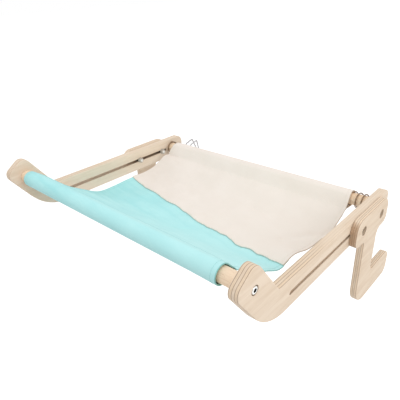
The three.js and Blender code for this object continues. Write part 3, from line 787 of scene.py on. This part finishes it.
def make_bolt(node, spot, side, seat, sizes, material, slot, body):
    """A socket-head bolt whose head's underside is at seat and whose shank runs inwards."""
    radius, height, length, threads, flats, depth = sizes
    face = seat + side * height
    profile = [(face - side * below, radius - inset) for below, inset in HEAD_EDGE] + [
        (seat + side * HEAD_UNDERCUT, radius),
        (seat, radius - HEAD_UNDERCUT),
        (seat - side * STEP, BOLT_RADIUS),
    ]
    tip = seat - side * length
    add_thread(profile, tip + side * threads, tip, -side)
    bolt = turned("turned_" + node, 40, spot, profile)
    socket = hexagon("socket cutter", spot, face + side * 2, face - side * depth, flats)
    mouth = flats / 2 + 0.2
    cone = [(face + side, mouth + SOCKET_MOUTH), (face - side * SOCKET_FLARE, mouth)]
    shaped(bolt, "DIFFERENCE", socket, turned("flare cutter", 6, spot, cone))
    finished(smoothed(bolt, 30), material, body, slot, node)
    darken_socket(bolt, spot, side, face, flats, depth)
    return bolt


def make_washer(node, spot, side, outer, body):
    """A flat washer: a disc whose two faces are inset and bridged to make its hole."""
    low = low_end(side, outer - WASHER_THICKNESS, outer)
    high = low + WASHER_THICKNESS
    rim = WASHER_RADIUS - WASHER_EASE
    washer = turned("flat_" + node, 48, spot, [
        (low, rim),
        (low + WASHER_EASE, WASHER_RADIUS),
        (high - WASHER_EASE, WASHER_RADIUS),
        (high, rim),
    ])
    pick(washer)
    open_mesh("DESELECT")
    close_mesh()
    for face in washer.data.polygons:
        face.select = abs(face.normal.x) > 0.99
    bpy.ops.object.mode_set(mode="EDIT")
    bpy.ops.mesh.select_mode(type="FACE")
    bpy.ops.mesh.inset(thickness=(rim - BOLT_HOLE) * MM)
    bpy.ops.mesh.bridge_edge_loops()
    close_outward()
    return finished(smoothed(washer, 30), DULL_STEEL, body, "bright_steel", node)


def make_nut(node, spot, side, outer, body):
    """A hexagon nut whose corners are chamfered by a cone on both ends."""
    low = low_end(side, outer - NUT_HEIGHT, outer)
    high = low + NUT_HEIGHT
    first = low + NUT_CHAMFER
    last = high - NUT_CHAMFER
    nut = hexagon("hex_" + node, spot, low, high, NUT_FLATS)
    flat = NUT_FLATS / 2 - 0.3
    corner = NUT_FLATS / math.sqrt(3) + 0.05
    cone = [(low, flat), (first, corner), (last, corner), (high, flat)]
    shaped(nut, "INTERSECT", turned("chamfer cone", 48, spot, cone))
    mouth = NUT_BORE + NUT_CHAMFER
    bore = turned("nut bore", 40, spot, [
        (low - 2, mouth + 2),
        (low, mouth),
        (first, NUT_BORE),
        (last, NUT_BORE),
        (high, mouth),
        (high + 2, mouth + 2),
    ])
    shaped(nut, "DIFFERENCE", bore)
    return finished(smoothed(nut, 30), DULL_STEEL, body, "bright_steel", node)


def make_clamp_set(side, label, end, spot):
    """A clamp bolt, with its washer and nut on the arm's inner face."""
    node = label + "_" + end + "_clamp_"
    body = label + "_bracket"
    seat = side * (BRACKET_OUTER - BRACKET_RECESS_DEPTH + GAP)
    inner_face = ARM_INNER - GAP
    make_bolt(node + "bolt", spot, side, seat, CLAMP_BOLT, BOLT_STEEL, "dark_steel", body)
    make_washer(node + "washer", spot, side, inner_face, body)
    make_nut(node + "nut", spot, side, inner_face - WASHER_THICKNESS - GAP, body)


for end, axis in AXES.items():
    make_dowel(end, axis)
for side, label in SIDES:
    seat = side * (ARM_OUTER - ARM_RECESS_DEPTH + GAP)
    for end, axis in AXES.items():
        node = end + "_" + label + "_bolt"
        make_bolt(node, axis, side, seat, CAP_SCREW, BRIGHT_STEEL, "bright_steel", "frame")
    for end, along in CLAMP_SPOTS.items():
        make_clamp_set(side, label, end, (along - ADVANCES[label], SLOT_LINE))


# Bent wire
def bent_wire(name, points, radius, roundness=3):
    """A closed round wire along points given in millimetres."""
    curve = bpy.data.curves.new(name, "CURVE")
    curve.dimensions = "3D"
    curve.bevel_depth = radius * MM
    curve.bevel_resolution = roundness
    curve.use_fill_caps = True
    line = curve.splines.new("POLY")
    line.points.add(len(points) - 1)
    for place, point in zip(line.points, points):
        place.co = (*(part * MM for part in point), 1)
    piece = bpy.data.objects.new(name, curve)
    bpy.context.collection.objects.link(piece)
    pick(piece)
    bpy.ops.object.convert(target="MESH")
    piece = bpy.context.object
    open_mesh()
    bpy.ops.mesh.remove_doubles(threshold=1e-7)
    close_outward()
    return smoothed(piece, 60)


# Springs: where each lap of the coil rests on the dowel's front, and the number of turns
SPRING_RADIUS = 1.1
COIL_RADIUS = (DOWEL_RADIUS + SPRING_RADIUS + GAP) / math.cos(math.pi / 8)
COIL_TAIL = 1.6
SPRINGS = {
    "left": ((-247.8, -245.4, -230.0, -221.0), 2),
    "right": ((217.6, 227.6, 237.5, 247.5), 2.75),
}


def coil_points(rests, turns, steps=40):
    """A coil round the rear dowel, which moves along it while it passes behind."""
    points = []
    for step in range(round(turns * steps) + 1):
        turn = step / steps
        lap = int(turn + 0.25)
        share = turn + 0.25 - lap
        share -= math.sin(2 * math.pi * share) / (2 * math.pi)
        after = rests[min(lap + 1, len(rests) - 1)]
        along = rests[lap] + (after - rests[lap]) * share
        swing = 2 * math.pi * turn
        y = REAR_AXIS.x + COIL_RADIUS * math.sin(swing)
        points.append((along, y, REAR_AXIS.y + COIL_RADIUS * math.cos(swing)))
    first = (points[0][0] - COIL_TAIL, *points[0][1:])
    last = (points[-1][0] + COIL_TAIL, *points[-1][1:])
    return [first] + points + [last]


for label, (rests, turns) in SPRINGS.items():
    node = label + "_spring"
    spring = bent_wire("wound_" + node, coil_points(rests, turns), SPRING_RADIUS)
    finished(spring, SPRING_WIRE, "frame", "spring_wire", node)


# Wire hook
HOOK_CENTRE = -199.5
HOOK_SPREAD = 7.5  # from its middle to each leg
HOOK_SEAT = 3.0  # from the dowel's axis to a leg's end
HOOK_RADIUS = 1.45
HOOK_BEND = 5.0
# Each straight run of a leg: its length, and its slope above the level
HOOK_RUNS = ((20.4, math.radians(61.7)), (26.5, math.radians(12.9)), (39.0, math.radians(-77.0)))


def rounded(corners, radius, steps=10):
    """Rounds the inner corners of a path."""
    path = [corners[0]]
    for before, corner, after in zip(corners, corners[1:], corners[2:]):
        back = (before - corner).normalized()
        on = (after - corner).normalized()
        half = back.angle(on) / 2
        reach = radius / math.tan(half)
        centre = corner + (back + on).normalized() * radius / math.sin(half)
        start = corner + back * reach - centre
        end = corner + on * reach - centre
        for step in range(steps + 1):
            path.append(centre + start.slerp(end, step / steps))
    path.append(corners[-1])
    return path


def make_hook():
    """One wire bent into a narrow loop: both its ends are in the rear dowel."""
    def onward(spot, length, slope):
        return spot + Vector((0, math.cos(slope), math.sin(slope))) * length

    def leg(side):
        root = Vector((HOOK_CENTRE + side * HOOK_SPREAD, REAR_AXIS.x, REAR_AXIS.y))
        spots = [root]
        for length, slope in HOOK_RUNS:
            spots.append(onward(spots[-1], length, slope))
        spots[0] = onward(root, HOOK_SEAT, HOOK_RUNS[0][1])
        return spots

    hook = bent_wire("bent_wire_hook", rounded(leg(-1) + leg(1)[::-1], HOOK_BEND), HOOK_RADIUS)
    return finished(hook, HOOK_WIRE, "frame", "spring_wire", "wire_hook")


make_hook()


# Sling, in millimetres
CLOTH = 0.8
LOWEST = -13.0
FALL = 91.5
FRONT_STITCH = Vector((-311.83, 74.61))
REAR_STITCH = Vector((6.89, 16.06))
RUN = REAR_STITCH.x - FRONT_STITCH.x
# Each sleeve's middle in (Y, Z) and its radius. The front one sags off its dowel.
SLEEVES = {"front": (FRONT_AXIS + Vector((0.4, -1.0)), 13.5), "rear": (REAR_AXIS, 14.7)}
# The front sleeve's right end: from which share across it opens, and how far it lifts and widens
OPENING = 0.9
OPENING_LIFT = Vector((-1.6, 1.9))
OPENING_WIDTH = 0.6
# How far to the right the left and right edges are moved, by which power the right one's move
# fades inwards, and where along Y both start and are full
SHIFTS = (
    (8.6, -1.6, 3, 8.0, 32.0),
    (-3.0, 4.0, 9, -290.0, -320.0),
    (-3.6, 1.8, 3, -60.0, 20.0),
)
# The hanging line between the stitch lines: a share of the run, the height above the lowest as a
# share of the fall, and how much higher the left and right edges hang there
HANG = (
    (0.037, 0.835, 0, 0),
    (0.129, 0.56, 0, 2),
    (0.226, 0.32, 2.6, 8),
    (0.337, 0.11, 3.4, 9.5),
    (0.461, 0.022, 8.6, 21.5),
    (0.603, 0, 12, 10.5),
    (0.744, 0.022, 10.6, 5),
    (0.854, 0.087, 10, -1),
    (0.9485, 0.225, 10.2, -1.2),
)
# Where the slanting seam lies along the run, at even steps from the left edge to the right
SEAM_SHARES = (
    0.619, 0.617, 0.6157, 0.6165, 0.6095, 0.6066, 0.6036, 0.6007, 0.599, 0.5941, 0.5883,
    0.5818, 0.574, 0.5716, 0.5712, 0.5689, 0.5618, 0.5562, 0.5502, 0.5405, 0.531,
    0.5235, 0.522, 0.5215, 0.516, 0.5142, 0.5075, 0.501, 0.5035, 0.4952, 0.4836,
    0.4681, 0.4612, 0.462, 0.462, 0.450, 0.4525, 0.4467, 0.4376, 0.4331, 0.426,
)
# Soft creases: spots in shares across and along, then width and depth
CREASES = (
    (((0.45, 0.15), (0.40, 0.27)), 5.0, 0.8),
    (((0.57, 0.11), (0.48, 0.27)), 5.0, 0.8),
    (((0.49, 0.34), (0.55, 0.44)), 5.0, 0.9),
    (((0.35, 0.32), (0.29, 0.44)), 5.0, 0.8),
    (((0.14, 0.46), (0.24, 0.42)), 5.0, 0.8),
    (((0.64, 0.765), (0.75, 0.735)), 6.0, 1.0),
    (((0.17, 0.742), (0.28, 0.752)), 7.0, 0.9),
    (((0.88, 0.62), (0.925, 0.669), (0.95, 0.706), (0.985, 0.73), (1.02, 0.83)), 8.0, 3.0),
)
# Small gathers along the sewn lines: waves across the sling, their weights and their offsets
GATHERS = ((23, 1.0, 1.3), (37, 0.7, 0.4), (53, 0.5, 0.0))
GATHER_DEPTH = 0.22
GATHER_REACH = 10.0
RIPPLE = 1.2  # the seam's slow waves
DROOP = 4.0  # at the right end of the front sleeve's stitches
SEAM_OFFSET = 0.95  # how far off the hanging line each panel lies at the seam
SLEEVE_OFFSET = 0.45  # and each of a sleeve's two layers at its stitches
SEAM_EASE = 0.07  # the shares of the run over which these end
SLEEVE_EASE = 0.05

# Rows of a panel from its seam on, and columns across it
UNDER_ROWS = 5
SEAM_ROWS = 72
TANGENT_ROWS = 5
SLEEVE_ROWS = 40
LAP_ROWS = 4
FOLD_ROWS = 5
COLUMNS = 160
UNDER_SHARE = 0.036
LAP_SHARE = 0.028
FOLD_WIDTH = 10.0
HEM_INSETS = (0.0, 0.6, 3.0, 6.0, 9.0)
HEM_END = 10  # how many rows before the sleeve's stitches the side hem ends
HEM_STITCH = 7.0
SEAM_STITCH = 2.5
CREASE_DROP = 0.5  # how far under the cloth a folded edge lies where it is folded
HEM_DROP = 0.85
FOLD_DROP = 0.88
# A stitch's thread: how far along it lies, and how high above the cloth
STITCH = ((0.0, -0.25), (0.4, 0.14), (1.9, 0.14), (2.3, -0.25))
STITCH_PITCH = 3.0
THREAD_RADIUS = 0.24


def through(points, share):
    """A smooth line through points, each of them at an even share."""
    last = len(points) - 1
    place = max(0.0, min(1.0, share)) * last
    step = min(int(place), last - 1)
    part = place - step
    before = points[max(step - 1, 0)]
    first = points[step]
    second = points[step + 1]
    after = points[min(step + 2, last)]
    out = (second - before) * 0.5
    into = (after - first) * 0.5
    cube = 2 * first - 2 * second + out + into
    square = -3 * first + 3 * second - 2 * out - into
    return ((cube * part + square) * part + out) * part + first


HANGING = [FRONT_STITCH]
RISES = [Vector((0, 0))]
for along, height, left, right in HANG:
    HANGING.append(Vector((FRONT_STITCH.x + RUN * along, LOWEST + FALL * height)))
    RISES.append(Vector((left, right)))
HANGING.append(REAR_STITCH)
RISES.append(Vector((0, 0)))


def smooth_step(value, start=0.0, stop=1.0):
    """Runs softly from 0 at start to 1 at stop."""
    share = max(0.0, min(1.0, (value - start) / (stop - start)))
    return share * share * (3 - 2 * share)


def bell(value, width):
    return math.exp(-((value / width) ** 2))


def crease(across, along):
    """How deep the soft creases are at a spot."""
    depth = 0.0
    spot = Vector((across * SLING_WIDTH, along * RUN))
    for corners, width, deep in CREASES:
        nearest = math.inf
        for first, second in zip(corners, corners[1:]):
            start = Vector((first[0] * SLING_WIDTH, first[1] * RUN))
            way = Vector((second[0] * SLING_WIDTH, second[1] * RUN)) - start
            share = max(0.0, min(1.0, (spot - start).dot(way) / way.length_squared))
            nearest = min(nearest, (start + way * share - spot).length)
        if nearest < 3 * width:
            depth += deep * bell(nearest, width)
    return depth


def pucker(across, along, seam):
    """Small gathers that the stitching pulls into the cloth."""
    turn = 2 * math.pi * across
    wave = sum(weight * math.sin(count * turn + offset) for count, weight, offset in GATHERS)
    near = sum(bell((along - sewn) * RUN, GATHER_REACH) for sewn in (0.0, seam, 1.0))
    return GATHER_DEPTH * wave * near


def lift(across, along):
    """How far a spot of the sling lies above the hanging line."""
    seam = through(SEAM_SHARES, across)
    from_middle = abs(2 * across - 1)
    rise = through(RISES, along)
    edge = rise.x * from_middle ** 8 if across < 0.5 else rise.y * from_middle ** 2.7
    ripple = RIPPLE * math.cos(12 * math.pi * across) * bell(along - seam, 0.1)
    ripple *= math.sin(math.pi * along) ** 2
    droop = DROOP * max(0.0, 2 * across - 1) ** 10 * (1 - smooth_step(along, 0.0, 0.12))
    return edge + ripple - droop + pucker(across, along, seam) - crease(across, along)


def hanging_spot(across, along):
    spot = through(HANGING, along)
    return Vector((spot.x, spot.y + lift(across, along)))


def sleeve_round(across, end):
    """A sleeve's middle and radius. The front one opens at its right end."""
    axis, radius = SLEEVES[end]
    if end == "front":
        opened = smooth_step(across, OPENING)
        return axis + OPENING_LIFT * opened, radius + OPENING_WIDTH * opened
    return axis, radius


def sleeve_spots(axis, radius, upper, lower, way):
    """A sleeve's rows, from its upper stitches round its dowel and back to the lower ones."""
    def tangent_turn(spot, side):
        away = spot - axis
        return math.atan2(away.y, away.x) + side * math.acos(radius / away.length)

    def on_sleeve(turn):
        return axis + Vector((math.cos(turn), math.sin(turn))) * radius

    start = tangent_turn(upper, way)
    stop = tangent_turn(lower, -way)
    while (stop - start) * way < 0:
        stop += way * 2 * math.pi
    first = on_sleeve(start)
    last = on_sleeve(stop)
    straight = [row / TANGENT_ROWS for row in range(1, TANGENT_ROWS + 1)]
    curved = [row / SLEEVE_ROWS for row in range(1, SLEEVE_ROWS + 1)]
    return [
        *(upper.lerp(first, share) for share in straight),
        *(on_sleeve(start + (stop - start) * share) for share in curved),
        *(last.lerp(lower, share) for share in straight),
    ]


def panel_line(across, end):
    """One line of a panel in (Y, Z), from its seam to the hem behind its sleeve."""
    front = end == "front"
    seam = through(SEAM_SHARES, across)
    sewn = 0.0 if front else 1.0
    toward = -1 if front else 1
    spots = []
    if front:
        for row in range(UNDER_ROWS):
            along = seam + UNDER_SHARE * (1 - row / UNDER_ROWS)
            spots.append((hanging_spot(across, along), -SEAM_OFFSET))
    for row in range(SEAM_ROWS + 1):
        along = seam + (sewn - seam) * row / SEAM_ROWS
        near_seam = 1 - smooth_step(abs(along - seam), 0.0, SEAM_EASE)
        near_stitch = 1 - smooth_step(abs(along - sewn), 0.0, SLEEVE_EASE)
        side = toward * SEAM_OFFSET * near_seam + SLEEVE_OFFSET * near_stitch
        spots.append((hanging_spot(across, along), side))
    stitch = hanging_spot(across, sewn)
    ahead = (hanging_spot(across, sewn - toward * 0.01) - stitch).normalized()
    up = Vector((-ahead.y, ahead.x))
    if up.y < 0:
        up = -up
    apart = up * SLEEVE_OFFSET
    sleeve = sleeve_spots(*sleeve_round(across, end), stitch + apart, stitch - apart, -toward)
    spots += [(spot, 0.0) for spot in sleeve]
    for row in range(1, LAP_ROWS + 1):
        along = sewn - toward * LAP_SHARE * row / LAP_ROWS
        slack = smooth_step(abs(along - sewn), 0.0, SLEEVE_EASE)
        spots.append((hanging_spot(across, along) - apart * (1 + slack), 0.0))
    places = [spot for spot, _ in spots]
    line = []
    for row, (spot, side) in enumerate(spots):
        before = places[max(row - 1, 0)]
        after = places[min(row + 1, len(places) - 1)]
        run = (after - before).normalized()
        out = Vector((-run.y, run.x)) * toward
        line.append((spot + out * side, out))
    return line


def cloth_spot(lines, across, row):
    """A spot on a panel's middle surface, with its outward direction, by its shares of the rows."""
    place = max(0.0, min(1.0, across)) * COLUMNS
    column = min(int(place), COLUMNS - 1)
    step = min(int(row), len(lines[0]) - 2)
    spot = Vector((0, 0))
    out = Vector((0, 0))
    for line, share in ((lines[column], column + 1 - place), (lines[column + 1], place - column)):
        for (here, up), part in ((line[step], step + 1 - row), (line[step + 1], row - step)):
            spot += here * share * part
            out += up * share * part
    x = SLING_LEFT + SLING_WIDTH * across
    for left, right, power, start, stop in SHIFTS:
        ends = left * (1 - across) ** 3 + right * across ** power
        x += ends * smooth_step(spot.x, start, stop)
    return Vector((x, spot.x, spot.y)), Vector((0, out.x, out.y)).normalized()


def row_past(line, distance):
    """The row, with its fraction, that lies a distance from a line's first one."""
    row = 0
    while row + 2 < len(line):
        step = (line[row + 1][0] - line[row][0]).length
        if step >= distance:
            return row + distance / step
        distance -= step
        row += 1
    return row


def running_lengths(spots):
    """How far along a line each of its spots lies. Each comes with its outward direction."""
    runs = [0.0]
    for (here, _), (there, _) in zip(spots, spots[1:]):
        runs.append(runs[-1] + (there - here).length)
    return runs


def laid_canvas(name, lines, lengths, columns, rows, place, flipped):
    """A thick grid of cloth whose points place() sets, with the cloth's flat size as its UV."""
    pick()
    bpy.ops.mesh.primitive_grid_add(x_subdivisions=columns, y_subdivisions=rows, size=1)
    sheet = started(name)
    flat = {}
    for vertex in sheet.data.vertices:
        across, row, under = place(
            round((vertex.co.x + 0.5) * columns),
            round((vertex.co.y + 0.5) * rows),
        )
        spot, out = cloth_spot(lines, across, row)
        vertex.co = (spot - out * under) * MM
        along = lengths[round(across * COLUMNS)][round(row)]
        flat[vertex.index] = (across * SLING_WIDTH * MM, along * MM)
    for loop in sheet.data.loops:
        sheet.data.uv_layers[0].data[loop.index].uv = flat[loop.vertex_index]
    if flipped:
        open_mesh()
        bpy.ops.mesh.flip_normals()
        close_mesh()
    modified(sheet, "SOLIDIFY", thickness=CLOTH * MM, offset=0.0, use_even_offset=True)
    return smoothed(sheet, 60)


def sew(name, lines, path, thread, slot):
    """A row of stitches: one thread that dips into the cloth between them."""
    spots = [cloth_spot(lines, across, row) for across, row in path]
    runs = running_lengths(spots)
    points = []
    step = 0
    for stitch in range(int(runs[-1] / STITCH_PITCH)):
        for ahead, above in STITCH:
            wanted = stitch * STITCH_PITCH + ahead
            while runs[step + 1] < wanted and step + 2 < len(runs):
                step += 1
            part = (wanted - runs[step]) / max(runs[step + 1] - runs[step], 1e-6)
            here, out = spots[step]
            there, outward = spots[step + 1]
            raised = out.lerp(outward, part).normalized() * (CLOTH / 2 + above)
            points.append(here.lerp(there, part) + raised)
    return finished(bent_wire(name, points, THREAD_RADIUS, 1), thread, "frame", slot)


def hem_places(side, first):
    """Where the points of the edge folded under along one side lie, from a row on."""
    insets = HEM_INSETS[::-side]

    def place(column, row):
        across = insets[column] / SLING_WIDTH
        drop = HEM_DROP if insets[column] else CREASE_DROP
        return across if side < 0 else 1 - across, first + row, drop

    return place


def fold_places(lines):
    """Where the points of the edge folded under along the seam lie."""
    def place(column, row):
        past = row_past(lines[column], FOLD_WIDTH * row / FOLD_ROWS)
        return column / COLUMNS, past, FOLD_DROP if row else CREASE_DROP

    return place


def make_panel(colour, end, material, thread):
    """A sheet of canvas cut flat, hemmed at its sides and hung between its seam and its sleeve."""
    front = end == "front"
    seam_row = UNDER_ROWS if front else 0
    stitch_row = seam_row + SEAM_ROWS
    sleeve_row = stitch_row + TANGENT_ROWS // 2
    sleeve_end = stitch_row + TANGENT_ROWS + SLEEVE_ROWS + TANGENT_ROWS // 2
    slot = colour + "_canvas"
    lines = [panel_line(column / COLUMNS, end) for column in range(COLUMNS + 1)]
    lengths = []
    for line in lines:
        runs = running_lengths(line)
        lengths.append([run - runs[seam_row] for run in runs])

    def canvas(name, columns, rows, place, *nodes):
        cloth = laid_canvas(name, lines, lengths, columns, rows, place, front)
        return finished(cloth, material, "frame", slot, *nodes)

    def stitches(name, path):
        return sew(name, lines, path, thread, slot)

    def whole_place(column, row):
        return column / COLUMNS, row, 0.0

    sheet = canvas(slot + "_panel", COLUMNS, len(lines[0]) - 1, whole_place, "sling_" + end)
    hems = (("side", seam_row, stitch_row - HEM_END), ("sleeve", sleeve_row, sleeve_end))
    for side, label in SIDES:
        name = colour + "_" + label + "_"
        for part, first, last in hems:
            places = hem_places(side, first)
            columns = len(HEM_INSETS) - 1
            canvas(name + part + "_hem", columns, last - first, places)
        across = HEM_STITCH / SLING_WIDTH if side < 0 else 1 - HEM_STITCH / SLING_WIDTH
        path = [(across, row) for row in range(seam_row + 1, sleeve_end)]
        stitches(name + "hem_stitches", path)
    shares = [step / (2 * COLUMNS) for step in range(1, 2 * COLUMNS)]
    path = [(across, stitch_row) for across in shares]
    stitches(colour + "_sleeve_stitches", path)
    if not front:
        canvas("beige_seam_fold", COLUMNS, FOLD_ROWS, fold_places(lines))
        sewn = [row_past(lines[round(across * COLUMNS)], SEAM_STITCH) for across in shares]
        stitches("seam_stitches", list(zip(shares, sewn)))
    whole = [runs[-1] - runs[0] for runs in lengths]
    max(whole) * MM
    SLING_WIDTH * MM * sum(whole) / len(whole) * MM


make_panel("aqua", "front", AQUA, AQUA_THREAD)
make_panel("beige", "rear", BEIGE, BEIGE_THREAD)

# The threaded inserts inside the dowels keep their solids
for end in AXES:
    for _, label in SIDES:
        coat(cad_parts[end + "_" + label + "_insert"], BRASS)


# Studio
FLOOR_HEIGHT = -0.75
ROOM_LIGHT = 0.84
WHITE = (1.0, 1.0, 1.0, 1.0)


def set_floor():
    pick()
    bpy.ops.mesh.primitive_plane_add(size=60, location=(0, 0, FLOOR_HEIGHT))
    floor = started("studio_floor")
    pale = finish_named("pale floor")
    mottle = pale.noise(pale.place(), 6.0, 2.0)
    colour = pale.mixed(mottle * 0.3, (250, 250, 250), (246, 246, 245))
    seen = pale.seen_directly()
    lit = pale.node("BsdfPrincipled", inputs={"Base Color": colour, "Roughness": 0.9})
    glow = pale.node("Emission", inputs={"Strength": 0.3})
    both = pale.node("AddShader", inputs={0: lit, 1: glow})
    dim = pale.node("BsdfDiffuse", inputs={"Color": paint(222, 221, 220)})
    surface = pale.node("MixShader", inputs={0: seen, 1: dim, 2: both})
    pale.node("OutputMaterial", inputs={"Surface": surface})
    floor.data.materials.append(pale.owner)


def set_room():
    """Even light from all sides, which the camera and reflections see as plain white."""
    world = bpy.data.worlds.new("white room")
    room = Finish(world)
    seen = room.seen_directly()
    even = room.node("Background", inputs={"Color": WHITE, "Strength": ROOM_LIGHT})
    bright = room.node("Background", inputs={"Color": WHITE, "Strength": 1.0})
    surface = room.node("MixShader", inputs={0: seen, 1: even, 2: bright})
    room.node("OutputWorld", inputs={"Surface": surface})
    bpy.context.scene.world = world


def add_softbox(name, spot, aim, size, power):
    light = bpy.data.lights.new(name, "AREA")
    light.shape = "SQUARE"
    light.size = size
    light.energy = power
    lamp = bpy.data.objects.new(name, light)
    away = Vector(spot) - Vector(aim)
    lamp.matrix_world = Matrix.Translation(spot) @ away.to_track_quat("Z", "Y").to_matrix().to_4x4()
    bpy.context.collection.objects.link(lamp)


set_floor()
set_room()
for name, spot, power in (
    ("overhead softbox", (-0.05, -0.5, 2.1), 5.5),
    ("right softbox", (1.8, -0.3, 0.7), 8.6),
    ("left softbox", (-1.8, -0.5, 0.9), 4.2),
):
    add_softbox(name, spot, (0, -0.1, 0), 1.2, power)

bpy.context.scene.view_settings.view_transform = "Standard"
